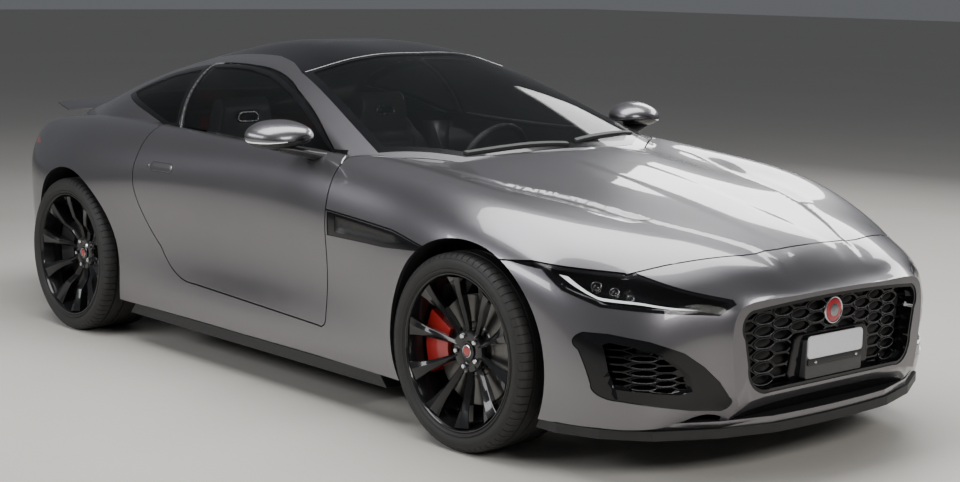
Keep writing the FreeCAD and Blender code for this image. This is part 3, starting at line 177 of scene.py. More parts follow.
# Painted panels: steel and aluminium pressings on the two smooth surfaces of the body,
# in warm metallic grey under clear lacquer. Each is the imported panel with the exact
# normals of those surfaces, drawn by the same sections as the model.
LOWER_BODY = [
    [(2320, 470, 205), (2320, 486, 300), (2320, 494, 400), (2320, 494, 480), (2320, 480, 545),
     (2320, 436, 575), (2320, 290, 582), (2320, 145, 586), (2320, 0, 588)],
    [(2160, 470, 205), (2190, 488, 300), (2200, 496, 400), (2206, 496, 480), (2210, 482, 545),
     (2218, 436, 580), (2228, 290, 590), (2233, 145, 595), (2235, 0, 597)],
    [(2060, 690, 190), (2078, 694, 290), (2084, 690, 400), (2084, 676, 490), (2080, 640, 572),
     (2085, 560, 628), (2125, 390, 658), (2145, 195, 668), (2150, 0, 671)],
    [(1930, 806, 184), (1945, 814, 290), (1950, 812, 400), (1945, 800, 505), (1930, 770, 598),
     (1905, 700, 665), (1945, 500, 720), (1980, 250, 735), (1990, 0, 739)],
    [(1780, 862, 182), (1785, 874, 290), (1785, 880, 400), (1778, 878, 520), (1765, 858, 635),
     (1745, 780, 718), (1765, 560, 768), (1785, 290, 780), (1795, 0, 786)],
    [(1610, 888, 182), (1610, 902, 290), (1608, 910, 410), (1605, 912, 540), (1598, 900, 670),
     (1585, 815, 776), (1590, 600, 812), (1600, 300, 822), (1600, 0, 828)],
    [(1352, 903, 182), (1352, 922, 290), (1352, 932, 420), (1352, 937, 560), (1352, 929, 705),
     (1352, 838, 832), (1352, 620, 852), (1352, 310, 866), (1352, 0, 874)],
    [(1000, 893, 182), (1000, 906, 290), (1000, 909, 420), (1000, 913, 565), (1000, 908, 715),
     (1000, 835, 866), (1000, 620, 897), (1000, 310, 917), (1000, 0, 926)],
    [(600, 882, 182), (600, 893, 290), (600, 884, 430), (600, 890, 580), (600, 897, 740),
     (600, 838, 893), (600, 640, 938), (600, 330, 955), (600, 0, 962)],
    [(0, 882, 182), (0, 893, 290), (0, 878, 430), (0, 884, 590), (0, 896, 760),
     (0, 842, 905), (0, 640, 945), (0, 330, 960), (0, 0, 965)],
    [(-600, 886, 184), (-600, 900, 290), (-600, 895, 430), (-600, 912, 590), (-600, 930, 760),
     (-600, 852, 915), (-600, 640, 955), (-600, 330, 965), (-600, 0, 970)],
    [(-1270, 900, 200), (-1270, 926, 300), (-1270, 942, 430), (-1270, 958, 590), (-1270, 952, 745),
     (-1270, 850, 905), (-1270, 640, 945), (-1270, 330, 950), (-1270, 0, 950)],
    [(-1700, 835, 240), (-1700, 862, 330), (-1700, 876, 450), (-1700, 882, 600), (-1700, 872, 745),
     (-1700, 770, 885), (-1700, 600, 903), (-1700, 310, 903), (-1700, 0, 903)],
    [(-2000, 680, 280), (-2000, 705, 360), (-2000, 720, 470), (-2000, 724, 600), (-2000, 712, 745),
     (-2000, 640, 858), (-2000, 500, 872), (-2000, 260, 872), (-2000, 0, 872)],
    [(-2120, 555, 300), (-2140, 590, 380), (-2150, 608, 480), (-2150, 612, 600), (-2146, 596, 740),
     (-2130, 525, 838), (-2125, 430, 855), (-2125, 220, 860), (-2125, 0, 862)],
    [(-2330, 500, 300), (-2330, 530, 380), (-2330, 545, 480), (-2330, 548, 600), (-2330, 532, 740),
     (-2330, 480, 825), (-2330, 400, 840), (-2330, 200, 845), (-2330, 0, 845)],
]
GREENHOUSE = [
    [(1000, 800, 740), (1000, 790, 770), (1000, 780, 800), (1000, 750, 830),
     (1000, 690, 850), (1000, 380, 872), (1000, 0, 880)],
    [(640, 812, 840), (612, 800, 890), (600, 786, 922), (592, 756, 938),
     (640, 700, 944), (800, 400, 950), (868, 0, 955)],
    [(440, 800, 840), (420, 790, 905), (395, 752, 985), (372, 700, 1022),
     (408, 640, 1036), (540, 360, 1066), (590, 0, 1078)],
    [(180, 790, 840), (170, 782, 912), (140, 728, 1040), (115, 650, 1112),
     (145, 585, 1134), (250, 330, 1178), (290, 0, 1194)],
    [(-120, 786, 850), (-120, 780, 918), (-130, 718, 1070), (-140, 618, 1172),
     (-125, 548, 1206), (-60, 310, 1260), (-40, 0, 1277)],
    [(-430, 784, 860), (-430, 778, 925), (-430, 716, 1080), (-430, 612, 1192),
     (-430, 540, 1230), (-430, 300, 1292), (-430, 0, 1309)],
    [(-800, 782, 870), (-800, 772, 940), (-800, 710, 1065), (-800, 608, 1160),
     (-800, 530, 1200), (-800, 290, 1260), (-800, 0, 1278)],
    [(-1200, 765, 880), (-1200, 745, 950), (-1200, 682, 1030), (-1200, 590, 1090),
     (-1200, 515, 1120), (-1200, 280, 1162), (-1200, 0, 1175)],
    [(-1650, 625, 860), (-1650, 608, 905), (-1650, 570, 948), (-1650, 515, 982),
     (-1650, 455, 1000), (-1650, 250, 1028), (-1650, 0, 1036)],
    [(-2150, 450, 780), (-2155, 440, 830), (-2160, 420, 858), (-2165, 385, 878),
     (-2168, 340, 888), (-2175, 190, 902), (-2180, 0, 906)],
    [(-2330, 430, 700), (-2330, 420, 760), (-2330, 400, 795), (-2330, 365, 818),
     (-2330, 320, 830), (-2330, 180, 845), (-2330, 0, 850)],
]


# The longest step, as a share of the surface, of a search along a line.
LONGEST_STEP = 0.04


def basis(t, flat, count):
    """Cubic basis functions of many parameters on a flat knot list."""
    t = np.clip(t, 0, 1 - 1e-12)
    values = ((flat[:-1] <= t[:, None]) & (t[:, None] < flat[1:])).astype(float)
    for degree in range(1, 4):
        left, right_side = flat[degree:-1] - flat[:-degree - 1], flat[degree + 1:] - flat[1:-degree]
        safe_left, safe_right = np.where(left > 0, left, 1), np.where(right_side > 0, right_side, 1)
        rise = (t[:, None] - flat[:-degree - 1]) / safe_left * (left > 0)
        fall = (flat[degree + 1:] - t[:, None]) / safe_right * (right_side > 0)
        values = rise * values[:, :-1] + fall * values[:, 1:]
    return values[:, :count]


class Skin:
    """The smooth surface through a table of sections, mirrored about the car's middle."""

    def __init__(self, table):
        half = np.array(table, float) / 1000
        net = np.concatenate([half, half[:, -2::-1] * (1, -1, 1)], 1)
        down, over = (self.parameters(net, axis) for axis in (0, 1))
        self.rows, self.columns = len(down), len(over)
        self.flat_down, self.flat_over = self.knots(down), self.knots(over)
        for_down = np.linalg.inv(basis(down, self.flat_down, self.rows))
        for_over = np.linalg.inv(basis(over, self.flat_over, self.columns))
        self.poles = np.einsum("kl,ilc->ikc", for_over, np.einsum("ij,jkc->ikc", for_down, net))
        grid = np.meshgrid(np.linspace(0, 1, 260), np.linspace(0, 1, 130), indexing="ij")
        u, v = (values.ravel() for values in grid)
        self.samples, self.cloud, self.flat_trees = np.stack([u, v], 1), self.at(u, v), {}
        self.tree = KDTree(len(u))
        for k, point in enumerate(self.cloud):
            self.tree.insert(point, k)
        self.tree.balance()

    @staticmethod
    def parameters(net, axis):
        steps = np.linalg.norm(np.diff(net, axis=axis), axis=2).mean(axis=1 - axis)
        run = np.concatenate([[0], np.cumsum(steps)])
        return run / run[-1]

    @staticmethod
    def knots(t):
        return np.concatenate([[0] * 4, [t[j:j + 3].mean() for j in range(1, len(t) - 3)], [1] * 4])

    def at(self, u, v):
        first = basis(u, self.flat_down, self.rows)
        second = basis(v, self.flat_over, self.columns)
        return np.einsum("nkc,nk->nc", np.einsum("ni,ikc->nkc", first, self.poles), second)

    def slopes(self, u, v, step=1e-4):
        along_u = self.at(np.minimum(u + step, 1), v) - self.at(np.maximum(u - step, 0), v)
        along_v = self.at(u, np.minimum(v + step, 1)) - self.at(u, np.maximum(v - step, 0))
        return along_u / (2 * step), along_v / (2 * step)

    def outward(self, u, v):
        along_u, along_v = self.slopes(u, v)
        normal = np.cross(along_u, along_v)
        return normal / np.maximum(np.linalg.norm(normal, axis=1), 1e-12)[:, None]

    def nearest(self, points):
        """Distances from the surface, its outward normals and its nearest places, for many points."""
        start = np.array([self.tree.find(point)[1] for point in points])
        u, v = self.samples[start].T
        for _ in range(4):
            along_u, along_v = self.slopes(u, v)
            off = points - self.at(u, v)
            a, b, c = ((p * q).sum(1) for p, q in ((along_u, along_u), (along_u, along_v),
                                                   (along_v, along_v)))
            e, f = (along_u * off).sum(1), (along_v * off).sum(1)
            det = np.maximum(a * c - b * b, 1e-12)
            u = np.clip(u + (c * e - b * f) / det, 0, 1)
            v = np.clip(v + (a * f - b * e) / det, 0, 1)
        here = self.at(u, v)
        return np.linalg.norm(points - here, axis=1), self.outward(u, v), here

    def meet(self, flat, axis, side=1):
        """Where lines along an axis, through points given by the two other values, meet the
        surface at the car's front, left, right or top, and its outward normals there."""
        keep = [k for k in range(3) if k != axis]
        if (axis, side) not in self.flat_trees:
            chosen = np.nonzero(self.cloud[:, axis] * side > (1.4, 0.2, 0.6)[axis])[0]
            tree = KDTree(len(chosen))
            for k in chosen:
                tree.insert((*self.cloud[k, keep], 0), int(k))
            tree.balance()
            self.flat_trees[axis, side] = tree
        flat = np.array(flat, float)
        u, v = self.samples[[self.flat_trees[axis, side].find((*point, 0))[1] for point in flat]].T
        for _ in range(6):
            a, b = (slope[:, keep] for slope in self.slopes(u, v))
            off = flat - self.at(u, v)[:, keep]
            det = a[:, 0] * b[:, 1] - a[:, 1] * b[:, 0]
            det = np.where(np.abs(det) < 1e-9, 1e-9, det)
            ahead = np.clip((off[:, 0] * b[:, 1] - off[:, 1] * b[:, 0]) / det, -LONGEST_STEP, LONGEST_STEP)
            aside = np.clip((a[:, 0] * off[:, 1] - a[:, 1] * off[:, 0]) / det, -LONGEST_STEP, LONGEST_STEP)
            u, v = np.clip(u + ahead, 0, 1), np.clip(v + aside, 0, 1)
        return self.at(u, v), self.outward(u, v)


body_skins = [Skin(LOWER_BODY), Skin(GREENHOUSE)]


# The angle of a panel's sharp edges, and the longest edge that a relief leaves.
PANEL_SHARP, FINE_EDGE = 26, 0.022


def smooth_panel(name, finish, depth=0.0004, relief=None):
    """A packed panel with the body surface's own normals, so that it shines without facets.
    A relief is a function of points that gives the height of pressed ridges, on finer faces."""
    source = nodes[name]
    mesh = source.data.copy()
    bm = bmesh.new()
    bm.from_mesh(mesh)
    bmesh.ops.remove_doubles(bm, verts=bm.verts, dist=1e-5)
    for _ in range(7 if relief else 0):
        long_edges = [e for e in bm.edges
                      if e.calc_length() > FINE_EDGE and min(v.co.z for v in e.verts) > 0.6]
        if long_edges:
            bmesh.ops.subdivide_edges(bm, edges=long_edges, cuts=1)
            bmesh.ops.triangulate(bm, faces=[f for f in bm.faces if len(f.verts) > 3])
    bm.to_mesh(mesh)
    bm.free()
    mesh.shade_smooth()
    mesh.set_sharp_from_angle(angle=math.radians(PANEL_SHARP))
    places = np.empty(len(mesh.vertices) * 3)
    mesh.vertices.foreach_get("co", places)
    places = places.reshape(-1, 3)
    corner_vertex = np.empty(len(mesh.loops), int)
    mesh.loops.foreach_get("vertex_index", corner_vertex)
    normals = np.empty(len(mesh.loops) * 3)
    mesh.corner_normals.foreach_get("vector", normals)
    normals = normals.reshape(-1, 3)
    flat = np.empty(len(mesh.polygons) * 3)
    mesh.polygons.foreach_get("normal", flat)
    flat = np.repeat(flat.reshape(-1, 3), 3, axis=0)
    for skin in body_skins:
        distance, outward, here = skin.nearest(places)
        facing = (flat * outward[corner_vertex]).sum(1)
        on_skin = (distance[corner_vertex] < depth) & (np.abs(facing) > 0.94)
        tilted = outward
        if relief and skin is body_skins[0]:
            across = np.cross(outward, (0.0, 1.0, 0.0))
            across /= np.maximum(np.linalg.norm(across, axis=1), 1e-9)[:, None]
            beside, step = np.cross(outward, across), 0.004
            for way in (across, beside):
                rise = (relief(here + way * step) - relief(here - way * step)) / (2 * step)
                tilted = tilted - way * rise[:, None]
            tilted = tilted / np.linalg.norm(tilted, axis=1)[:, None]
            height = relief(here)
            lifted = distance < 0.002
            places[lifted] = (here + outward * height[:, None])[lifted]
        normals[on_skin] = (tilted[corner_vertex] * np.sign(facing)[:, None])[on_skin]
    if relief:
        mesh.vertices.foreach_set("co", places.ravel())
    mesh.normals_split_custom_set(normals.tolist())
    mesh.materials.clear()
    mesh.materials.append(finish)
    piece = bpy.data.objects.new(name + "_skin", mesh)
    bpy.context.scene.collection.objects.link(piece)
    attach(piece, source["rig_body"])
    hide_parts(name)
    return piece


paint, feed, where = new_finish("grey_lacquer", {"Metallic": 0.85, "Coat Roughness": 0.03, "Coat IOR": 1.55})
flakes = where.noise(2600.0, 1.0, 0.6)
patch = where.noise(2.2, 2.0)
feed("Base Color", (flakes * 0.7 + patch * 0.3).blend((0.124, 0.119, 0.129), (0.212, 0.204, 0.218)))
feed("Roughness", flakes * 0.10 + 0.27)
feed("Coat Weight", patch * 0.04 + 0.95)
feed("Normal", where.noise(1900.0, 0.0).bump(0.06, 0.0004))
for name in ("body_shell", "rear_bumper", "door_left", "door_right", "tailgate"):
    smooth_panel(name, paint)

# Bonnet and nose: pressed with a raised middle whose edges run in from the windscreen's
# corners to the grille, a low spine, and a sunk bay beside each edge. The edge is (x, half width).
RAISED_EDGE = [(0.70, 0.640), (1.019, 0.592), (1.188, 0.545), (1.368, 0.478), (1.507, 0.447), (1.621, 0.424),
               (1.750, 0.373), (1.910, 0.287), (2.039, 0.214), (2.150, 0.190)]
MIDDLE_HIGH, SPINE_HIGH, BAY_DEEP = 0.0055, 0.0022, 0.0060


def eased(value):
    """A smooth rise from 0 to 1 while the value goes from 0 to 1."""
    value = np.clip(value, 0, 1)
    return value * value * (3 - 2 * value)


def nose_relief(points):
    """Height of the pressed shapes over the plain surface."""
    x, y, z = points.T
    off_edge = np.abs(y) - np.interp(x, *zip(*RAISED_EDGE))
    ends = eased((x - 0.80) / 0.25) * eased((2.185 - x) / 0.10) * eased((z - 0.60) / 0.05)
    middle = MIDDLE_HIGH * (1 - eased((off_edge + 0.006) / 0.042))
    middle += SPINE_HIGH * (1 - eased((np.abs(y) - 0.085) / 0.06))
    bay = -BAY_DEEP * eased(off_edge / 0.016) * eased((0.105 - off_edge) / 0.075)
    bay *= eased((x - 1.02) / 0.25) * eased((1.735 - x) / 0.05)
    return (middle + bay) * ends


for name in ("bonnet", "front_bumper"):
    smooth_panel(name, paint, relief=nose_relief)

# Roof and wing vents: one pressed panel in gloss black, bonded between the painted rails, and
# a moulded vent clipped into each front wing, in the same black.


def worn_finish(name, plain, noise, low, high, rough, bump=None):
    """A finish whose colour, roughness and fine relief follow one noise, which has a scale, a
    detail and a roughness. The finish's roughness is the noise times a factor, and a least value."""
    made, feed, where = new_finish(name, plain)
    amount = where.noise(*noise)
    feed("Base Color", amount.blend(low, high))
    feed("Roughness", amount * rough[0] + rough[1])
    if bump:
        feed("Normal", amount.bump(*bump))
    return made


black_lacquer = worn_finish("black_lacquer",
                            {"Specular IOR Level": 0.12, "Coat Weight": 0.55, "Coat Roughness": 0.02},
                            (9.0, 5.0, 0.6), (0.003, 0.003, 0.004), (0.009, 0.009, 0.010), (0.12, 0.10))
smooth_panel("roof_panel", black_lacquer)
vents = smooth_panel("wing_vents", black_lacquer, 0.0045)

# Glass: windscreen, quarter and rear panes bonded to the body, and door panes that run in
# their doors, all of lightly tinted safety glass.
tint, feed, where = new_finish("tinted_glass", {"Roughness": 0.015, "IOR": 1.5, "Coat Weight": 0.6,
                                                "Coat Roughness": 0.01})
smear = where.noise(5.0, 4.0, 0.6)
feed("Base Color", smear.blend((0.006, 0.007, 0.007), (0.012, 0.014, 0.014)))
edge_on = where.add("ShaderNodeLayerWeight", {}, {"Blend": 0.25}, "Fresnel")
feed("Alpha", edge_on * 0.70 + 0.10)
tint.surface_render_method = "BLENDED"
for name in ("windscreen", "door_glass_left", "door_glass_right", "quarter_glasses", "tailgate_glass"):
    smooth_panel(name, tint, 0.0065)

# Lamps: black moulded bowls under clear covers in front and red moulded lenses behind, all
# clipped into the body. The covers' guides and lenses come further down.
clear, feed, where = new_finish("clear_cover", {"Roughness": 0.02, "IOR": 1.49, "Coat Weight": 0.5})
edge_on = where.add("ShaderNodeLayerWeight", {}, {"Blend": 0.3}, "Fresnel")
feed("Alpha", edge_on * 0.55 + 0.05)
feed("Base Color", where.noise(6.0).blend((0.02, 0.02, 0.022), (0.04, 0.04, 0.043)))
clear.surface_render_method = "BLENDED"
smooth_panel("lamp_covers", clear, 0.0045)
smooth_panel("headlamps", black_lacquer, 0.0045)
red_lens, feed, where = new_finish("red_lens", {"Roughness": 0.08, "Coat Weight": 1.0,
                                                "Coat Roughness": 0.02, "Emission Strength": 0.05})
ribs = where.noise(120.0, 2.0)
feed("Base Color", ribs.blend((0.20, 0.002, 0.003), (0.42, 0.008, 0.008)))
feed("Emission Color", ribs.blend((0.3, 0.0, 0.0), (0.6, 0.01, 0.01)))
smooth_panel("tail_lamps", red_lens)

# Tyres: low-profile road rubber, moulded with a rim guard, four grooves round the tread
# and a ring of cross cuts at each shoulder. Turned about the hub and seated on the rim.
rubber, feed, where = new_finish("tyre_rubber", {"Specular IOR Level": 0.35})
bloom = where.noise(14.0, 5.0, 0.65)
fine = where.noise(420.0, 2.0)
feed("Base Color", bloom.blend((0.016, 0.016, 0.016), (0.034, 0.033, 0.032)))
feed("Roughness", bloom * 0.18 + 0.52)
feed("Normal", fine.bump(0.15, 0.0006))


def painted(mesh, finish):
    """The mesh, all in one finish."""
    mesh.materials.clear()
    mesh.materials.append(finish)
    return mesh


def add_piece(name, mesh, body, slot, *replaced, finish=None):
    """A finished object that rides on a body. Its slot argument is not used."""
    made = bpy.data.objects.new(name, painted(mesh, finish) if finish else mesh)
    bpy.context.scene.collection.objects.link(made)
    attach(made, body)
    if replaced:
        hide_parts(*replaced)
    return made


def new_mesh(name, vertices, faces, sharp):
    """A mesh with its doubles merged, its normals outwards and its edges sharp from an angle."""
    mesh = bpy.data.meshes.new(name)
    mesh.from_pydata([tuple(v) for v in vertices], [], faces)
    bm = bmesh.new()
    bm.from_mesh(mesh)
    bmesh.ops.remove_doubles(bm, verts=bm.verts, dist=1e-6)
    bmesh.ops.recalc_face_normals(bm, faces=bm.faces)
    bm.to_mesh(mesh)
    bm.free()
    mesh.shade_smooth()
    mesh.set_sharp_from_angle(angle=math.radians(sharp))
    return mesh


def lattice(rings, columns, loop_rings=False, loop_columns=True):
    """The four-sided faces between rings of points that follow each other in one list."""
    return [(a * columns + b, a * columns + (b + 1) % columns,
             (a + 1) % rings * columns + (b + 1) % columns, (a + 1) % rings * columns + b)
            for a in range(rings if loop_rings else rings - 1)
            for b in range(columns if loop_columns else columns - 1)]


def even_angles(count):
    return [k * math.tau / count for k in range(count)]


def turned(name, profile, turns, sharp=25, dip=lambda k, column: 0.0):
    """A closed profile of (across, radius) turned about the axle, in a number of even steps
    or at given angles, with dips in its radius."""
    angles = even_angles(turns) if isinstance(turns, int) else turns
    vertices = []
    for column, angle in enumerate(angles):
        for k, (across, radius) in enumerate(profile):
            r = radius - dip(k, column)
            vertices.append((r * math.cos(angle), across, r * math.sin(angle)))
    return new_mesh(name, vertices, lattice(len(angles), len(profile), loop_rings=True), sharp)


# For each corner: the hub's place, and the tyre's half width and radius.
corners = {}
for corner in ("fl", "fr", "rl", "rr"):
    low, high = (Vector(point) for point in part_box("tyre_" + corner))
    facing = Matrix.Rotation(0 if corner[1] == "l" else math.pi, 4, "Z")
    half_size = (high - low) / 2
    corners[corner] = (Matrix.Translation((low + high) / 2) @ facing, half_size.y, half_size.z)
RIM = 0.2715
GROOVE_DEEP = 0.0065
CUTS, CUT_DEEP = 72, 0.0035
CUT_STEPS = (0.0, 0.012, 0.10, 0.112, 0.40, 0.70)
CUT_FLOOR = (1, 2)
tyre_angles = [(k + step) * math.tau / CUTS for k in range(CUTS) for step in CUT_STEPS]
for corner, (place, wide, tall) in corners.items():
    wall = tall - RIM
    half = [(wide - 0.030, RIM - 0.006), (wide - 0.016, RIM + 0.0004), (wide - 0.0105, RIM + 0.001),
            (wide - 0.0085, RIM + 0.004), (wide - 0.0035, RIM + 0.007), (wide - 0.0030, RIM + 0.011),
            (wide - 0.0065, RIM + 0.014), (wide - 0.0015, RIM + wall * 0.32), (wide, RIM + wall * 0.44),
            (wide - 0.0006, RIM + wall * 0.56), (wide - 0.0030, tall - 0.027),
            (wide - 0.0052, tall - 0.0225), (wide - 0.0044, tall - 0.0205), (wide - 0.0085, tall - 0.0135),
            (wide - 0.0140, tall - 0.0075), (wide - 0.0220, tall - 0.0035), (wide - 0.0330, tall - 0.0016)]
    tread = wide - 0.040
    for middle, half_width in ((tread * 0.80, 0.0045), (tread * 0.30, 0.0055)):
        level = tall - 0.0012 * (middle / tread) ** 2
        floor_half = half_width - 0.001
        half += [(middle + half_width, level), (middle + floor_half, level - GROOVE_DEEP),
                 (middle - floor_half, level - GROOVE_DEEP), (middle - half_width, level)]
    inner = [(wide - 0.034, RIM - 0.002), (wide - 0.014, RIM + wall * 0.4), (wide - 0.030, tall - 0.018)]
    profile = half + [(-a, r) for a, r in reversed(half)] + [(-a, r) for a, r in inner] + inner[::-1]
    shoulder = {k for k, (a, r) in enumerate(profile)
                if tread * 0.84 < abs(a) < wide - 0.006 and r > tall - 0.016}
    tyre = turned("tyre_" + corner, profile, tyre_angles, 38, lambda k, column: (
        CUT_DEEP if k in shoulder and column % len(CUT_STEPS) in CUT_FLOOR else 0.0))
    tyre.transform(place)
    add_piece("road_tyre_" + corner, tyre, "wheel_" + corner, "tyre_rubber", "tyre_" + corner, finish=rubber)

# Rims: cast alloy, lacquered gloss black, with ten spokes that widen from the hub to the
# flange and carry a fold along their middle, five chromed nuts and a bare round cap with a
# bright ring and a red middle.
rim_black = worn_finish("black_rim_lacquer",
                        {"Specular IOR Level": 0.2, "Coat Weight": 0.6, "Coat Roughness": 0.04},
                        (22.0, 4.0, 0.6), (0.006, 0.006, 0.0065), (0.014, 0.014, 0.015), (0.10, 0.18))
chrome = worn_finish("bright_chrome", {"Metallic": 1.0},
                     (60.0, 3.0), (0.62, 0.63, 0.65), (0.80, 0.81, 0.82), (0.12, 0.08))


def copies_tree(name, **given):
    """A Geometry Nodes tree that copies a shape to points, realizes the copies and gives them
    a finish; with the outputs of its input node and the open inputs of the copying node."""
    tree = bpy.data.node_groups.new(name, "GeometryNodeTree")
    for label, kind in {**given, "Finish": "Material"}.items():
        tree.interface.new_socket(label, in_out="INPUT", socket_type="NodeSocket" + kind)
    tree.interface.new_socket("Shape", in_out="OUTPUT", socket_type="NodeSocketGeometry")
    add, link = tree.nodes.new, tree.links.new
    inputs, copies, realized, coloured, result = (add(kind) for kind in (
        "NodeGroupInput", "GeometryNodeInstanceOnPoints", "GeometryNodeRealizeInstances",
        "GeometryNodeSetMaterial", "NodeGroupOutput"))
    link(copies.outputs[0], realized.inputs[0])
    link(realized.outputs[0], coloured.inputs["Geometry"])
    link(inputs.outputs["Finish"], coloured.inputs["Material"])
    link(coloured.outputs[0], result.inputs[0])
    return tree, inputs.outputs, copies.inputs


# Copies of a shape, turned in equal steps about the Y axis from a start angle.
ring_of_copies, given, copying = copies_tree("ring_of_copies", Shape="Geometry", Copies="Int", Start="Float")
add, link = ring_of_copies.nodes.new, ring_of_copies.links.new
points, index, turn = add("GeometryNodePoints"), add("GeometryNodeInputIndex"), add("ShaderNodeCombineXYZ")
share, angle, rotation = add("ShaderNodeMath"), add("ShaderNodeMath"), add("FunctionNodeEulerToRotation")
share.operation, angle.operation = "DIVIDE", "MULTIPLY_ADD"
angle.inputs[1].default_value = math.tau
for source, target in ((given["Copies"], points.inputs["Count"]), (index.outputs[0], share.inputs[0]),
                       (given["Copies"], share.inputs[1]), (share.outputs[0], angle.inputs[0]),
                       (given["Start"], angle.inputs[2]), (angle.outputs[0], turn.inputs["Y"]),
                       (turn.outputs[0], rotation.inputs[0]), (points.outputs[0], copying["Points"]),
                       (given["Shape"], copying["Instance"]), (rotation.outputs[0], copying["Rotation"])):
    link(source, target)


def grown(tree, mesh, **inputs):
    """The mesh that a Geometry Nodes tree makes of a shape with the given inputs."""
    shape = bpy.data.objects.new("shape", mesh)
    bpy.context.scene.collection.objects.link(shape)
    modifier = shape.modifiers.new("nodes", "NODES")
    modifier.node_group = tree
    for item in tree.interface.items_tree:
        if item.in_out == "INPUT" and item.name in inputs:
            modifier[item.identifier] = inputs[item.name]
    bpy.context.view_layer.update()
    result = bpy.data.meshes.new_from_object(shape.evaluated_get(bpy.context.evaluated_depsgraph_get()))
    bpy.data.objects.remove(shape)
    return result


def joined(name, *meshes):
    """One mesh of several, with their materials and sharp edges."""
    bm = bmesh.new()
    finishes = []
    for mesh in meshes:
        first = len(bm.faces)
        bm.from_mesh(mesh)
        bm.faces.ensure_lookup_table()
        own = list(mesh.materials)
        for face in bm.faces[first:]:
            finish = own[face.material_index] if own else None
            if finish not in finishes:
                finishes.append(finish)
            face.material_index = finishes.index(finish)
    whole = bpy.data.meshes.new(name)
    bm.to_mesh(whole)
    bm.free()
    for finish in finishes:
        whole.materials.append(finish)
    return whole


def closed_loft(name, rings, sharp=35):
    """A closed solid through rings with as many points each."""
    columns, last = len(rings[0]), (len(rings) - 1) * len(rings[0])
    faces = lattice(len(rings), columns) + [tuple(range(columns)), tuple(range(last, last + columns))]
    return new_mesh(name, [point for ring in rings for point in ring], faces, sharp)


SPOKES, SPOKE_START = 10, math.radians(6.0)
NUTS, NUT_START, NUT_CIRCLE = 5, math.radians(24.0), 0.054
hub = turned("hub", [(0.0455, 0.030), (0.0455, 0.074), (0.058, 0.075), (0.0655, 0.071), (0.067, 0.066),
                     (0.0655, 0.040), (0.064, 0.034), (0.064, 0.030)], 80)
nut = turned("nut", [(0.050, 0.001), (0.050, 0.0098), (0.0745, 0.0098), (0.0780, 0.0075),
                     (0.0785, 0.001)], 6)
nut_seat = turned("nut_seat", [(0.060, 0.0112), (0.060, 0.0150), (0.0655, 0.0145), (0.0665, 0.0125)], 24)
fastened = []
for mesh, finish in ((nut_seat, rim_black), (nut, chrome)):
    mesh.transform(Matrix.Translation((0, 0, NUT_CIRCLE)))
    fastened.append(grown(ring_of_copies, mesh, Copies=NUTS, Start=NUT_START, Finish=finish))
cap = turned("cap", [(0.045, 0.0005), (0.045, 0.0335), (0.0685, 0.0335), (0.0700, 0.0315), (0.0695, 0.0275),
                     (0.0700, 0.0260), (0.0712, 0.0200), (0.0718, 0.0120), (0.0720, 0.0005)], 60)
cap_ring = turned("cap_ring", [(0.0680, 0.0215), (0.0716, 0.0213), (0.0722, 0.0200), (0.0718, 0.0184),
                               (0.0680, 0.0184)], 48)
cap_middle = turned("cap_middle", [(0.0690, 0.0183), (0.0712, 0.0183), (0.0724, 0.0100), (0.0726, 0.0004),
                                   (0.0690, 0.0004)], 40)
# The cap's red middle takes the tail lamps' red lens finish and so glows faintly: a painted glow on a part
# that is no lamp.
wheel_middle = joined("wheel_middle", painted(hub, rim_black), *fastened, painted(cap, rim_black),
                      painted(cap_ring, chrome), painted(cap_middle, red_lens))
for corner, (place, wide, tall) in corners.items():
    lip, outer_face = wide - 0.010, wide - 0.014
    barrel = turned("barrel", [
        (lip - 0.002, RIM - 0.0005), (lip, RIM - 0.002), (lip, RIM - 0.006), (lip - 0.003, RIM - 0.0085),
        (lip - 0.012, RIM - 0.0105), (lip - 0.020, RIM - 0.0125), (lip - 0.050, RIM - 0.019),
        (lip - 0.075, RIM - 0.024), (-lip + 0.030, RIM - 0.020), (-lip + 0.004, RIM - 0.012),
        (-lip, RIM - 0.010), (-lip, RIM - 0.0005), (-lip + 0.012, RIM - 0.0015), (-lip + 0.035, RIM - 0.010),
        (lip - 0.080, RIM - 0.014), (lip - 0.045, RIM - 0.010), (lip - 0.012, RIM - 0.002)], 120, sharp=30)
    # A spoke's stations: radius, half width, height of its edges and of its fold, underside.
    stations = [(0.058, 0.0095, 0.0640, 0.0690, 0.047), (0.085, 0.0105, 0.0655, 0.0715, 0.046),
                (0.120, 0.0120, 0.0735, 0.0800, 0.048),
                (0.160, 0.0150, outer_face - 0.032, outer_face - 0.026, 0.056),
                (0.200, 0.0200, outer_face - 0.018, outer_face - 0.0135, 0.066),
                (0.232, 0.0275, outer_face - 0.0080, outer_face - 0.0050, 0.074),
                (0.2555, 0.0350, outer_face - 0.0010, outer_face, 0.080)]
    sections = []
    for radius, half_width, edge, fold, under in stations:
        outline = ((-half_width, edge - 0.0025), (-half_width + 0.0022, edge), (-half_width * 0.22, fold),
                   (half_width * 0.22, fold - 0.004), (half_width - 0.0022, edge - 0.006),
                   (half_width, edge - 0.0085), (half_width * 0.62, under), (-half_width * 0.62, under))
        sections.append([(across, height, radius) for across, height in outline])
    spokes = grown(ring_of_copies, closed_loft("spoke", sections, 12), Copies=SPOKES, Start=SPOKE_START,
                   Finish=rim_black)
    wheel = joined("rim_" + corner, painted(barrel, rim_black), spokes, wheel_middle)
    wheel.transform(place)
    add_piece("cast_rim_" + corner, wheel, "wheel_" + corner, "rim_black", "rim_" + corner)

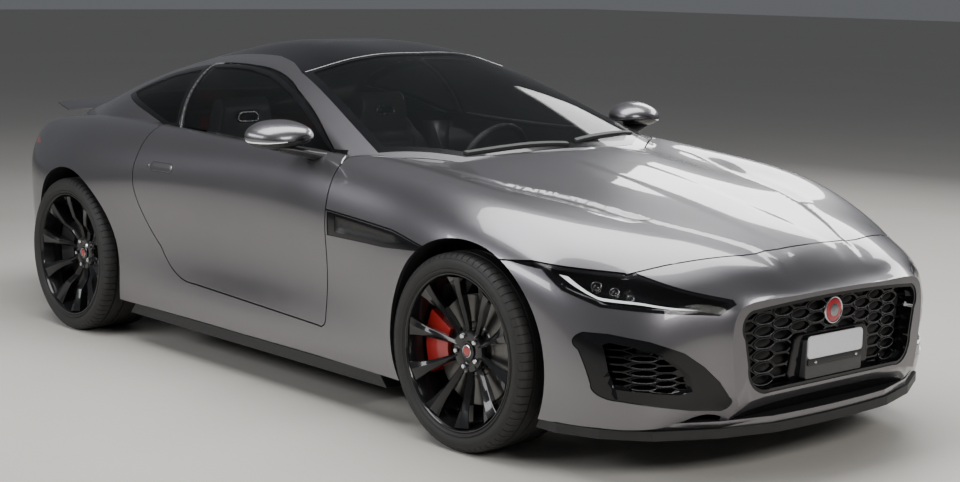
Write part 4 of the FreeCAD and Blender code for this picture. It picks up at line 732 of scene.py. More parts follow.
# Brakes: turned iron discs bolted behind the rims; the front ones are gripped by calipers in
# red lacquer, and the rear calipers are waxed black with the running gear.
iron = worn_finish("turned_iron", {"Metallic": 1.0},
                   (34.0, 4.0, 0.6), (0.10, 0.095, 0.09), (0.20, 0.195, 0.19), (0.2, 0.26))
red_lacquer = worn_finish("red_lacquer", {"Coat Weight": 0.7, "Coat Roughness": 0.06},
                          (180.0, 3.0), (0.32, 0.010, 0.010), (0.50, 0.022, 0.016), (0.15, 0.3),
                          bump=(0.1, 0.0006))
DISC = [(0.0105, 0.0005), (0.0105, 0.073), (0.0005, 0.0765), (0.0005, 0.1865), (0.0020, 0.1895),
        (0.0105, 0.1898), (0.0120, 0.1860), (0.0220, 0.1860), (0.0235, 0.1898), (0.0320, 0.1895),
        (0.0338, 0.1865), (0.0338, 0.098), (0.0300, 0.092), (0.0338, 0.086), (0.0338, 0.0765),
        (0.0440, 0.073), (0.0446, 0.060), (0.0446, 0.0005)]
for corner, (place, _, _) in corners.items():
    rotor = turned("disc_" + corner, DISC, 96, sharp=28)
    rotor.transform(place)
    add_piece("brake_disc_" + corner, rotor, "wheel_" + corner, "disc_iron", "disc_" + corner, finish=iron)


def dress(finish, *names):
    """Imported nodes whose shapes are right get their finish."""
    for name in names:
        if not nodes[name].data.materials:
            nodes[name].data.materials.append(finish)
        for slot in nodes[name].material_slots:
            slot.material = finish


dress(red_lacquer, "caliper_fl", "caliper_fr")

# Running gear: cast alloy uprights on pressed steel arms, and welded frames under black
# wax coating that carry the engine, one plain casting.
cast, feed, where = new_finish("sand_cast_alloy", {"Metallic": 0.9})
sand = where.noise(260.0, 4.0, 0.6)
stain = where.noise(7.0, 4.0, 0.6)
feed("Base Color", stain.blend((0.25, 0.25, 0.25), (0.42, 0.42, 0.43)))
feed("Roughness", stain * 0.25 + 0.4)
feed("Normal", sand.bump(0.35, 0.0008))
dress(cast, "knuckle_fl", "knuckle_fr", "rear_knuckles", "engine_block")
wax = worn_finish("black_wax_coat", {},
                  (24.0, 4.0, 0.6), (0.012, 0.012, 0.013), (0.035, 0.034, 0.033), (0.3, 0.35),
                  bump=(0.2, 0.0012))
dress(wax, "suspension_arms", "front_frame", "rear_frame", "rear_calipers")

# Lower trim: splitter, skirts, floor, arch liners and diffuser, moulded in grained black
# plastic and screwed on from below. The vents' sunk floors are of it too, and the exhaust
# tips are chromed steel.
grained, feed, where = new_finish("grained_black_plastic", {"Specular IOR Level": 0.4})
grain = where.add("ShaderNodeTexVoronoi", {}, {"Vector": where, "Scale": 700.0})
scuff = where.noise(6.0, 5.0, 0.65)
feed("Base Color", scuff.blend((0.010, 0.010, 0.0105), (0.026, 0.026, 0.026)))
feed("Roughness", scuff * 0.22 + 0.38)
feed("Normal", grain.bump(0.12, 0.0004))
dress(grained, "floor_pan", "front_splitter", "side_skirts", "rear_diffuser", "wheel_arch_liners")
VENT_SUNK = 0.0045
vents.data.materials.append(grained)
sunk, _, _ = body_skins[0].nearest(np.array([face.center for face in vents.data.polygons]))
for face, deep in zip(vents.data.polygons, sunk):
    face.material_index = 1 if deep > VENT_SUNK else 0
smooth_panel("exhaust_tips", chrome, 0.0)

# Cabin: leather seats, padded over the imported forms, with crowned middles, sewn channels and
# raised wings; a moulded dashboard and a leather wheel on the column.
leather, feed, where = new_finish("black_leather", {"Specular IOR Level": 0.4})
pores = where.add("ShaderNodeTexVoronoi", {}, {"Vector": where, "Scale": 420.0})
feed("Base Color", where.noise(5.0, 4.0).blend((0.030, 0.031, 0.033), (0.055, 0.055, 0.058)))
feed("Roughness", pores * 0.2 + 0.34)
feed("Normal", pores.bump(0.3, 0.0006))
shape = bpy.data.objects.new("seat_shape", nodes["seats"].data.copy())
bpy.context.scene.collection.objects.link(shape)
bm = bmesh.new()
bm.from_mesh(shape.data)
bmesh.ops.remove_doubles(bm, verts=bm.verts, dist=1e-5)
bm.to_mesh(shape.data)
bm.free()
voxels = shape.modifiers.new("voxels", "REMESH")
voxels.mode, voxels.voxel_size = "VOXEL", 0.0095
ease = shape.modifiers.new("ease", "SMOOTH")
ease.factor, ease.iterations = 0.5, 9
bpy.context.view_layer.update()
seat_mesh = bpy.data.meshes.new_from_object(shape.evaluated_get(bpy.context.evaluated_depsgraph_get()))
bpy.data.objects.remove(shape)
count = len(seat_mesh.vertices)
places, ways = np.empty(count * 3), np.empty(count * 3)
seat_mesh.vertices.foreach_get("co", places)
seat_mesh.vertices.foreach_get("normal", ways)
places, ways = places.reshape(-1, 3), ways.reshape(-1, 3)


def groove(off, wide=0.0065):
    """How deep a seam's groove is, as a share, at a distance from the seam."""
    return np.exp(-(off / wide) ** 2)


def swell(off, half):
    """How high a padded strip stands, as a share, at a distance from its middle."""
    return np.clip(1 - (off / half) ** 2, 0, 1) ** 0.6


def off_channel(along, start, pitch):
    """Distance from the nearest of a row of sewn channels."""
    return pitch / 2 - np.abs((along - start) / pitch % 1 - 0.5) * pitch


SEAT_Y = 0.380
BACK_CHANNELS, SEAT_CHANNELS = (0.46, 0.052), (-0.50, 0.055)
MIDDLE_HALF, SIDE_SEAM, WING_FROM, WING_MIDDLE = 0.128, 0.134, 0.142, 0.180
CHANNELS_TOP, HEAD_SEAM = 0.86, 0.872
PAD_IN, CROWN, CHANNEL_DEEP, SIDE_DEEP, WING_HIGH, HEAD_DEEP = 0.0035, 0.0100, 0.0055, 0.0065, 0.0060, 0.0060
x, z = places[:, 0], places[:, 2]
beside = np.abs(np.abs(places[:, 1]) - SEAT_Y)
on_back = (ways[:, 0] > 0.45) & (z > 0.44) & (z < 0.93)
on_seat = (ways[:, 2] > 0.55) & (z < 0.45) & (x > -0.52)
middle = beside < MIDDLE_HALF
crown = CROWN * swell(beside, 0.150)
wings = (on_back | on_seat) & (beside > WING_FROM)
rise = np.full(count, -PAD_IN)
rise += np.where(on_back & middle & (z < CHANNELS_TOP),
                 crown - CHANNEL_DEEP * groove(off_channel(z, *BACK_CHANNELS)), 0)
rise += np.where(on_seat & middle, crown - CHANNEL_DEEP * groove(off_channel(x, *SEAT_CHANNELS)), 0)
rise -= np.where(on_back | on_seat, SIDE_DEEP * groove(beside - SIDE_SEAM, 0.006), 0)
rise += np.where(wings, WING_HIGH * swell(beside - WING_MIDDLE, 0.045), 0)
rise -= np.where(on_back & middle, HEAD_DEEP * groove(z - HEAD_SEAM, 0.006), 0)
seat_mesh.vertices.foreach_set("co", (places + ways * rise[:, None]).ravel())
seat_mesh.shade_smooth()
seats_made = add_piece("stitched_seats", seat_mesh, nodes["seats"]["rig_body"], "trim_leather", "seats",
                       finish=leather)
moulding, feed, where = new_finish("soft_moulding", {})
feed("Base Color", where.noise(8.0, 4.0).blend((0.016, 0.016, 0.017), (0.032, 0.032, 0.033)))
feed("Roughness", where.noise(300.0, 2.0) * 0.2 + 0.5)
smooth_panel("dashboard", moulding, 0.0)
smooth_panel("steering_wheel", leather, 0.0)

# Window trim: gloss black borders bonded round the side panes, a satin post between them with
# a bright line, and the printed black border of the windscreen with a painted bead along the
# roof. The window line and the edge that divides its panes are (x, z).
WINDOW_LINE = [(548, 903), (424, 971), (310, 1025), (173, 1082), (43, 1131), (-61, 1162), (-172, 1190),
               (-330, 1209), (-460, 1211), (-600, 1205), (-750, 1188), (-900, 1162), (-1060, 1115),
               (-1130, 1087), (-1185, 1055), (-1190, 1048), (-900, 989), (-690, 939), (-404, 926),
               (-118, 916)]
DIVIDER = [(-0.578, 0.880), (-0.652, 1.230)]
DIVIDER_WIDE = 0.022


def metres(points):
    return [tuple(value / 1000 for value in point) for point in points]


def moved_in(points, distance):
    """A closed outline with each edge moved to its inner side, corners kept in pairs."""
    points = np.array(points, float)
    area = sum(a[0] * b[1] - b[0] * a[1] for a, b in zip(points, np.roll(points, -1, 0)))
    before, after = points - np.roll(points, 1, 0), np.roll(points, -1, 0) - points
    normals = []
    for edge in (before, after):
        edge = edge / np.linalg.norm(edge, axis=1)[:, None]
        normals.append(np.stack([-edge[:, 1], edge[:, 0]], 1) * np.sign(area))
    mitre = normals[0] + normals[1]
    share = np.minimum(2 / np.maximum((mitre ** 2).sum(1), 1e-6), 1.6)
    return points + mitre * share[:, None] * distance


def softened(points, corner=0.009, longest=0.03, closed=True):
    """An outline with its corners cut round and its long edges shared out. Outlines with as
    many corners come out with as many points, if they go in together as one array."""
    points = np.array(points, float)
    for size in (corner, corner * 0.45, corner * 0.22):
        ahead = np.roll(points, -1, 0) - points
        length = np.linalg.norm(ahead, axis=-1, keepdims=True)
        if length.ndim == 3:
            length = length.max(1, keepdims=True)
        share = np.minimum(0.25, size / np.maximum(length, 1e-9))
        cut = np.stack([points + ahead * share, points + ahead * (1 - share)], 1)
        if closed:
            points = cut.reshape(-1, *points.shape[1:])
        else:
            points = np.concatenate([points[:1], cut[:-1].reshape(-1, *points.shape[1:]), points[-1:]])
    ahead = np.roll(points, -1, 0)
    out = []
    for a, b in list(zip(points, ahead))[:len(points) if closed else -1]:
        count = max(1, math.ceil(np.abs(b - a).max() / longest))
        out += [a + (b - a) * k / count for k in range(count)]
    return np.array(out if closed else out + [points[-1]])


# Sections of a strip: pairs of a share of its width and a height over the surface.
RAISED = ((0, -0.0015), (0, 0.0006), (0.12, 0.0013), (0.5, 0.0016), (0.88, 0.0013), (1, 0.0006),
          (1, -0.0015))
POST = ((0, -0.006), (0, 0.0014), (0.2, 0.0026), (0.75, 0.0026), (1, 0.0014), (1, -0.006))
LINE = ((0, 0.001), (0, 0.0032), (0.5, 0.0038), (1, 0.0032), (1, 0.001))
INK = ((0, -0.0008), (0, 0.0003), (1, 0.0003), (1, -0.0008))


def band(name, skin, axis, first, second, section=RAISED, closed=True):
    """A strip laid on a body surface between two rails of flat points."""
    first, second = np.array(first, float), np.array(second, float)
    rows = []
    for share, height in section:
        place, outward = skin.meet(first + (second - first) * share, axis)
        rows.append(place + outward * height)
    count, levels = len(first), len(section)
    faces = lattice(levels, count, loop_rings=True, loop_columns=closed)
    if not closed:
        faces += [tuple(range(start, levels * count, count)) for start in (0, count - 1)]
    return new_mesh(name, np.concatenate(rows), faces, 40)


def mirrored_mesh(mesh):
    """The same mesh on the car's other side."""
    other = mesh.copy()
    other.transform(Matrix.Scale(-1, 4, (0, 1, 0)))
    other.flip_normals()
    return other


def ring_rails(outline, start, width):
    """The two rails of a border that runs along the inside of a closed outline."""
    pair = softened(np.stack([moved_in(outline, start), moved_in(outline, start + width)], 1))
    return pair[:, 0], pair[:, 1]


def divider_at(z, back=0.0):
    """Where the dividing edge is at a height, or a line so far behind it."""
    (x0, z0), (x1, z1) = DIVIDER
    return x0 + (x1 - x0) * (z - z0) / (z1 - z0) - back


def post_rails(front, back):
    """The two rails of a strip along the post, so far behind the dividing edge."""
    heights = np.linspace(0.947, 1.198, 12)
    return tuple([(divider_at(z, behind), z) for z in heights] for behind in (front, back))


SIDES = (("left", lambda mesh: mesh), ("right", mirrored_mesh))
lower, upper = body_skins
door_top, door_low, rear_top, rear_low = 1.2025, 0.9375, 1.1995, 0.9440
window = metres(WINDOW_LINE)
door_outline = window[:9] + [(divider_at(z) + 0.001, z) for z in (door_top, door_low)] + window[18:]
rear_outline = ([(divider_at(rear_top, DIVIDER_WIDE), rear_top)] + window[10:18]
                + [(divider_at(rear_low, DIVIDER_WIDE), rear_low)])
post_bright = worn_finish("satin_bright_trim", {"Metallic": 0.9},
                          (80.0, 3.0), (0.36, 0.36, 0.37), (0.52, 0.52, 0.53), (0.1, 0.22))
satin = worn_finish("satin_black_trim", {"Specular IOR Level": 0.5},
                    (50.0, 4.0, 0.6), (0.014, 0.014, 0.015), (0.030, 0.030, 0.031), (0.15, 0.28))
on_door = band("door_pane_trim", upper, 1, *ring_rails(door_outline, 0.0005, 0.013))
on_rear = band("quarter_trim", upper, 1, *ring_rails(rear_outline, 0.0005, 0.019))
post = band("post", upper, 1, *post_rails(0.0062, DIVIDER_WIDE - 0.0008), section=POST, closed=False)
line = band("line", upper, 1, *post_rails(0.0035, 0.009), section=LINE, closed=False)
post = joined("post", painted(post, satin), painted(line, post_bright))
for side, sided in SIDES:
    add_piece("door_pane_trim_" + side, sided(on_door), "door_" + side, "gloss_black", finish=black_lacquer)
    add_piece("quarter_pane_trim_" + side, sided(on_rear), "root", "gloss_black", finish=black_lacquer)
    add_piece("window_post_" + side, sided(post), "root", "satin_black")

# The screen's outline and the roof's front edge are (x, y).
screen_half = [(0.646, 0.700), (0.742, 0.570), (0.838, 0.440), (0.872, 0.280), (0.890, 0.140)]
screen_top = [(-0.0165, 0.270), (-0.060, 0.541)]
screen_outline = (screen_half + [(0.896, 0.0)] + [(x, -y) for x, y in reversed(screen_half)]
                  + [(x, -y) for x, y in reversed(screen_top)] + [(-0.002, 0.0)] + screen_top)
screen_border = band("screen_border", upper, 2, *ring_rails(screen_outline, 0.001, 0.034), section=INK)
add_piece("screen_border", screen_border, "root", "gloss_black", finish=black_lacquer)
header = [(-0.056, 0.530), (-0.0165, 0.270), (-0.002, 0.0), (-0.0165, -0.270), (-0.056, -0.530)]
header = softened(np.array([[(x + 0.0005, y), (x + 0.0085, y)] for x, y in header]), closed=False)
screen_bead = band("screen_bead", upper, 2, header[:, 0], header[:, 1], closed=False)
add_piece("screen_bead", screen_bead, "root", "body_paint", finish=paint)

# Mirrors: a painted cap over a black moulded shell with the lamp strip between them, the
# glass behind, on a black arm from the window's front corner. The head's stations are how far
# ahead of its middle, half width and half height.
HEAD = [(-0.002, 0.117, 0.052), (0.004, 0.122, 0.058), (0.018, 0.1275, 0.0625), (0.045, 0.127, 0.062),
        (0.075, 0.120, 0.056), (0.105, 0.107, 0.048), (0.130, 0.083, 0.036), (0.146, 0.050, 0.021),
        (0.1515, 0.022, 0.009)]
HEAD_PLACE = Vector((0.318, 0.948, 0.988))
HEAD_FLAT, HEAD_LIFT, HEAD_DROOP = 0.62, 0.004, 0.05


def head_shell(name, low, high, swell, thick, ahead=(0.0, 1.0), turns=44):
    """A closed slice of the mirror's head between two angles about its length; 0 is outboard."""
    chosen = [s for k, s in enumerate(HEAD) if ahead[0] <= k / (len(HEAD) - 1) <= ahead[1]]
    points = []
    for layer in (swell, swell - thick):
        for x, half_wide, half_high in chosen:
            for angle in np.linspace(math.radians(low), math.radians(high), turns):
                c, s = math.cos(angle), math.sin(angle)
                aside = np.sign(c) * abs(c) ** 0.85 * (half_wide + layer)
                rise = np.sign(s) * abs(s) ** 0.9 * (half_high + layer) * (1 if s > 0 else HEAD_FLAT)
                points.append((HEAD_PLACE.x + x, HEAD_PLACE.y - x / 8 + aside,
                               HEAD_PLACE.z + HEAD_LIFT + rise - HEAD_DROOP * max(0.0, c) * x))
    rows, outer = len(chosen), lattice(len(chosen), turns, loop_columns=False)
    other = rows * turns
    faces = outer + [tuple(other + k for k in quad) for quad in outer]
    for b in (0, turns - 1):
        faces += [(k, k + turns, other + k + turns, other + k) for k in range(b, (rows - 1) * turns, turns)]
    for a in (0, rows - 1):
        faces += [(k, k + 1, other + k + 1, other + k) for k in range(a * turns, (a + 1) * turns - 1)]
    return new_mesh(name, points, faces, 40)


def oval(centre, first, second, power, count=28):
    """A ring of points about a centre with two half axes, squarer for a power under 1."""
    centre, first, second = (np.array(v, float) for v in (centre, first, second))
    out = []
    for angle in even_angles(count):
        c, s = math.cos(angle), math.sin(angle)
        out.append(centre + first * np.sign(c) * abs(c) ** power + second * np.sign(s) * abs(s) ** power)
    return out


silver = worn_finish("mirror_silver", {"Metallic": 1.0},
                     (12.0, 3.0), (0.70, 0.72, 0.74), (0.82, 0.84, 0.86), (0.03, 0.01))
guide, feed, where = new_finish("white_guide", {"Roughness": 0.2, "Emission Strength": 0.9})
glow = where.noise(30.0, 2.0)
feed("Base Color", glow.blend((0.75, 0.77, 0.80), (0.92, 0.93, 0.95)))
feed("Emission Color", glow.blend((0.80, 0.84, 0.90), (1.0, 1.0, 1.0)))
head_rings = []
for x, half_wide, half_high in HEAD:
    middle = (HEAD_PLACE.x + x, HEAD_PLACE.y - x / 8, HEAD_PLACE.z + HEAD_LIFT - half_high * 0.005)
    across, upward = (0, half_wide - 0.003, -HEAD_DROOP * x), (0, 0, (half_high - 0.004) * 0.80)
    head_rings.append(oval(middle, across, upward, 0.9, 40))
# The arm's stations: place, half length and half height; the glass's: ahead, half axes.
arm_rings = [oval((x, y, z), (half_x, 0, 0), (0, 0, half_z), 0.7) for x, y, z, half_x, half_z in (
    (0.430, 0.778, 0.913, 0.040, 0.021), (0.425, 0.805, 0.917, 0.040, 0.019),
    (0.415, 0.840, 0.924, 0.041, 0.018), (0.400, 0.880, 0.934, 0.046, 0.017),
    (0.385, 0.925, 0.944, 0.050, 0.015), (0.372, 0.975, 0.953, 0.044, 0.010))]
pane_rings = [oval(HEAD_PLACE + Vector((x, 0, 0.006)), (0, half_wide, 0), (0, 0, half_high), 0.8, 40)
              for x, half_wide, half_high in ((-0.0005, 0.104, 0.034), (-0.0036, 0.104, 0.034),
                                              (-0.0042, 0.102, 0.032))]
mirror = joined("mirror", painted(closed_loft("head", head_rings), satin),
                painted(head_shell("underside", -177, -3, -0.0012, 0.004), black_lacquer),
                painted(head_shell("cap", 3, 177, 0.0, 0.0035), paint),
                painted(head_shell("cap_lower", -16, 1.5, -0.0004, 0.003), paint),
                painted(head_shell("cap_inner", 178.5, 196, -0.0004, 0.003), paint),
                painted(head_shell("strip", -26, -17.5, 0.0004, 0.003, (0.1, 0.9), 10), guide),
                painted(closed_loft("arm", arm_rings), satin),
                painted(closed_loft("pane", pane_rings), silver))
for side, sided in SIDES:
    add_piece("door_mirror_" + side, sided(mirror), "door_" + side, "body_paint", "mirror_" + side)

# Door handles: flush painted plates with a dark joint round them and a small lock cap,
# pressed into each door near its rear edge.
PLATE = ((0, -0.001), (0, 0.0006), (0.2, 0.0016), (1, 0.0021), (1, -0.001))
JOINT = ((0, -0.001), (0, 0.0003), (1, 0.0003), (1, -0.001))
LOCK = ((0, -0.001), (0, 0.0006), (0.3, 0.0012), (1, 0.0012), (1, -0.001))
LOCK_X, LOCK_Z, LOCK_RADIUS = -0.612, 0.796, 0.007
handle = metres([(-590, 778), (-590, 812), (-446, 812), (-446, 778)])
lock = [(LOCK_X + LOCK_RADIUS * math.cos(a), LOCK_Z + LOCK_RADIUS * math.sin(a)) for a in even_angles(14)]
handle = joined("handle", *(
    painted(band(name, lower, 1, *ring_rails(outline, 0.0, width), section=section), finish)
    for name, outline, width, section, finish in (
        ("handle_joint", moved_in(handle, -0.0032), 0.0034, JOINT, wax),
        ("handle_plate", handle, 0.0169, PLATE, paint), ("lock_cap", lock, 0.0066, LOCK, paint))))
for side, sided in SIDES:
    add_piece("flush_handle_" + side, sided(handle), "door_" + side, "body_paint")

# Wipers and rests: black coated arms and blades on the scuttle, and the rubber rests that the
# closed panels sit on, pushed into their seats.
smooth_panel("wipers", moulding, 0.0)
dress(moulding, "rubber_rests")

# Main grille: a gloss black honeycomb in its frame, each cell lined with a rounded ring whose lower half
# carries a painted highlight, a bright satin strip that stands in for the light from above catching it. A
# bare round badge sits on it, and a closed panel in its middle.
# Its outlines are (y, z), seen from the front.
smooth_panel("main_grille", black_lacquer, 0.0)
grille_body = nodes["main_grille"]["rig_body"]
GRILLE_DEEP = 0.038
NOSE_TIP, NOSE_BOW = 2.236, 3.568
NOSE_HEIGHTS, NOSE_REACH = (0.200, 0.275, 0.350, 0.440, 0.600), (2.160, 2.218, 2.2262, 2.233, 2.236)


def nose_face(points, deep=0.0):
    """Places so far behind the nose's front face, for points (y, z) seen from the front."""
    y, z = np.array(points, float).T
    bow = NOSE_TIP - (NOSE_BOW - np.sqrt(NOSE_BOW ** 2 - y ** 2))
    return np.stack([np.minimum(bow, np.interp(z, NOSE_HEIGHTS, NOSE_REACH)) - deep, y, z], -1)


# Copies of another object on points, each turned to face along the point's way.
copies_on_points, given, copying = copies_tree("copies_on_points", Points="Geometry", Cell="Object")
add, link = copies_on_points.nodes.new, copies_on_points.links.new
cell, way, facing = (add("GeometryNodeObjectInfo"), add("GeometryNodeInputNamedAttribute"),
                     add("FunctionNodeAlignRotationToVector"))
way.data_type, facing.axis = "FLOAT_VECTOR", "X"
way.inputs["Name"].default_value = "way"
for source, target in ((given["Points"], copying["Points"]), (given["Cell"], cell.inputs["Object"]),
                       (cell.outputs["Geometry"], copying["Instance"]),
                       (way.outputs[0], facing.inputs["Vector"]), (facing.outputs[0], copying["Rotation"])):
    link(source, target)


def spread(mesh, places, ways, finish):
    """The mesh copied to places, its X axis along each place's way."""
    cell = bpy.data.objects.new("cell", mesh)
    bpy.context.scene.collection.objects.link(cell)
    points = bpy.data.meshes.new("points")
    points.from_pydata([tuple(place) for place in places], [], [])
    ways = np.array(ways, float).ravel()
    points.attributes.new("way", "FLOAT_VECTOR", "POINT").data.foreach_set("vector", ways)
    made = grown(copies_on_points, points, Cell=cell, Finish=finish)
    bpy.data.objects.remove(cell)
    return made


def swept(name, path, section):
    """A section of (inset, height) run round a flat path (y, z), facing +X."""
    vertices = [(height, y, z) for inset, height in section for y, z in moved_in(path, inset)]
    return new_mesh(name, vertices, lattice(len(section), len(path), loop_rings=True), 35)


def cell_path(pitch_across, pitch_up, wall, corner):
    """A flat six-sided opening of a staggered honeycomb, with rounded corners."""
    high = (pitch_up - wall) / 2
    wide = (pitch_across * 4 / 3 - wall) / 2
    flat = wide - pitch_across / 3
    return softened([(wide, 0), (flat, high), (-flat, high), (-wide, 0), (-flat, -high), (flat, -high)],
                    corner)


def inside(point, outline):
    """Whether a flat point lies in a closed outline."""
    odd = False
    for a, b in zip(outline, outline[1:] + outline[:1]):
        if (a[1] > point[1]) != (b[1] > point[1]):
            if point[0] < a[0] + (b[0] - a[0]) * (point[1] - a[1]) / (b[1] - a[1]):
                odd = not odd
    return odd


def cells_within(columns, rows, across, up, reach, outline, shut=(), room=1.0):
    """The middles (y, z) of a staggered honeycomb's cells that lie in an outline and clear of
    a shut part of it. A cell reaches so far to its tips, to its shoulders and up."""
    tip, shoulder, high = reach
    ends = [(tip, 0), (-tip, 0)] + [(a, b) for a in (shoulder, -shoulder) for b in (high, -high)]
    middles = [(column * across, row * up + (up / 2 if column % 2 else 0))
               for column in columns for row in rows]
    return [(y, z) for y, z in middles if not inside((y, z), shut) and all(
        inside((y + a * room, z + b * room), outline) and not inside((y + a, z + b), shut) for a, b in ends)]


def highlight_lower_edge(path, section):
    """The part of a cell's ring below its middle, as a thin strip that carries a painted highlight."""
    low = [k for k, point in enumerate(path) if point[1] < -0.0035]
    rings = [moved_in(path, inset)[low] for inset, _ in section]
    order = sorted(range(len(low)), key=lambda k: rings[0][k][0])
    vertices = [(height, *ring[k]) for ring, (_, height) in zip(rings, section) for k in order]
    faces = lattice(len(section), len(low), loop_rings=True, loop_columns=False)
    return new_mesh("edge", vertices, faces, 35)


PANEL = [(-0.214, 0.292), (0.214, 0.292), (0.196, 0.452), (-0.196, 0.452)]
HALF_OPENING = [(0.330, 0.298), (0.384, 0.310), (0.420, 0.385), (0.438, 0.470), (0.440, 0.535),
                (0.410, 0.552)]
OPENING = HALF_OPENING + [(0.0, 0.570)] + [(-y, z) for y, z in reversed(HALF_OPENING)]
ACROSS, UP, CELL_REACH = 0.082, 0.040, (0.051, 0.024, 0.0165)
cells = cells_within(range(-6, 7), range(6, 16), ACROSS, UP, CELL_REACH, OPENING, PANEL, room=1.02)
behind = nose_face(cells, GRILLE_DEEP)
ways = [(1.0, y / NOSE_BOW, 0.02) for y, z in cells]
cell = cell_path(ACROSS, UP, 0.007, 0.013)
ring = swept("ring", cell, [(-0.0031, -0.001), (-0.0029, 0.0014), (-0.0014, 0.0030), (0.0006, 0.0026),
                            (0.0014, 0.0006), (0.0022, -0.0135), (0.0004, -0.0135)])
# Painted highlight: the lower half of each ring in bright satin, where light from above catches it.
edge = highlight_lower_edge(cell, [(-0.0016, 0.0026), (-0.0014, 0.0037), (0.0008, 0.0034), (0.0010, 0.0022)])
# Bright satin for the badge's raised middle, and a painted highlight on the cells' lower edges.
satin_and_painted_highlight = worn_finish("satin_bright_and_painted_highlight", {"Metallic": 0.9},
                         (70.0, 3.0), (0.26, 0.26, 0.27), (0.42, 0.42, 0.43), (0.12, 0.2))


def nose_slab(name, outline, section):
    """A closed sheet behind the nose's face, through (inset, deep) of a rounded outline."""
    path = softened(outline, 0.02)
    return closed_loft(name, [nose_face(moved_in(path, inset), deep) for inset, deep in section], 25)


panel = nose_slab("closed_panel", PANEL, ((0.0, 0.046), (0.0, 0.034), (0.003, 0.0305), (0.010, 0.0300)))
grille_cells = joined("grille_cells", spread(ring, behind, ways, black_lacquer),
                      spread(edge, behind, ways, satin_and_painted_highlight), painted(panel, black_lacquer))
add_piece("grille_cells", grille_cells, grille_body, "gloss_black")
# Painted shade: a dark satin sheet behind the cells that stands in for the shade inside the nose.
shade_backing = nose_slab("shade_backing", OPENING, ((0.0, 0.070), (0.0, 0.064), (0.004, 0.062)))
add_piece("grille_gauze", shade_backing, grille_body, "satin_black", finish=wax)

badge_red = worn_finish("red_enamel", {"Coat Weight": 1.0, "Coat Roughness": 0.03},
                        (90.0, 3.0), (0.26, 0.008, 0.014), (0.40, 0.014, 0.024), (0.1, 0.2))
# The badge's chrome rim, enamelled field and raised middle.
BADGE_Z = 0.516
FACE_FORWARD = Matrix.Rotation(-math.pi / 2, 4, "Z")
badge = joined("badge", *(painted(turned("badge", profile, 64), finish) for finish, profile in (
    (chrome, [(0, 0.0005), (0, 0.0470), (0.0062, 0.0470), (0.0085, 0.0455), (0.0092, 0.0430),
              (0.0080, 0.0405), (0.0064, 0.0398), (0.0060, 0.0005)]),
    (badge_red, [(0.0058, 0.0005), (0.0058, 0.0399), (0.0070, 0.0398), (0.0098, 0.0200), (0.0100, 0.0005)]),
    (satin_and_painted_highlight, [(0.0090, 0.0005), (0.0090, 0.0205), (0.0104, 0.0215), (0.0112, 0.0200), (0.0120, 0.0120),
                  (0.0125, 0.0005)]))))
(badge_place,) = nose_face([(0.0, BADGE_Z)], GRILLE_DEEP - 0.001)
badge.transform(Matrix.Translation(Vector(badge_place)) @ FACE_FORWARD)
add_piece("round_badge", badge, grille_body, "bright")

# Number plate: a blank enamelled sheet over a dark clamping bar with two bright screws, on a
# grey moulded plinth that stands on the grille's closed panel.
plate_paint = worn_finish("plate_enamel", {"Coat Weight": 0.4},
                          (40.0, 3.0), (0.66, 0.66, 0.70), (0.76, 0.76, 0.79), (0.2, 0.3))
plinth_grey = worn_finish("grey_moulding", {"Specular IOR Level": 0.4},
                          (260.0, 3.0), (0.050, 0.050, 0.052), (0.078, 0.078, 0.080), (0.2, 0.4))
PLATE_HALF, PLATE_LOW, PLATE_TOP, PLATE_CORNER = 0.1455, 0.3670, 0.4435, 0.009


def box_path(half, low, top, corner):
    """A rounded rectangle (y, z) about the car's middle."""
    return softened([(-half, low), (half, low), (half, top), (-half, top)], corner)


def slab(name, path, back, front, bevel):
    """A flat block with an outline (y, z), its front edges bevelled."""
    steps = ((0, back), (0, front - bevel), (bevel * 0.3, front - bevel * 0.3), (bevel, front))
    return closed_loft(name, [[(x, y, z) for y, z in moved_in(path, inset)] for inset, x in steps], 25)


plate_path = box_path(PLATE_HALF, PLATE_LOW, PLATE_TOP, PLATE_CORNER)
rim = swept("rim", plate_path, [(0.0004, 0.0), (0.0010, 0.0016), (0.0026, 0.0016), (0.0034, 0.0)])
rim.transform(Matrix.Translation((2.2183, 0, 0)))
plate_pieces = [
    painted(slab("plinth", box_path(0.150, 0.300, 0.430, 0.006), 2.178, 2.2155, 0.003), plinth_grey),
    painted(slab("bar", box_path(PLATE_HALF, 0.3465, 0.3665, 0.004), 2.2150, 2.2225, 0.0015), wax),
    painted(slab("plate", plate_path, 2.2150, 2.2185, 0.001), plate_paint), painted(rim, plate_paint)]
for side in (1, -1):
    screw = turned("screw", [(0, 0.0005), (0, 0.0060), (0.0014, 0.0062), (0.0030, 0.0050), (0.0036, 0.0028),
                             (0.0024, 0.0020), (0.0024, 0.0005)], 24, sharp=30)
    screw.transform(Matrix.Translation((2.2222, side * 0.108, 0.3565)) @ FACE_FORWARD)
    plate_pieces.append(painted(screw, chrome))
add_piece("blank_plate", joined("blank_plate", *plate_pieces), nodes["number_plate"]["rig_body"],
          "plate_white", "number_plate")

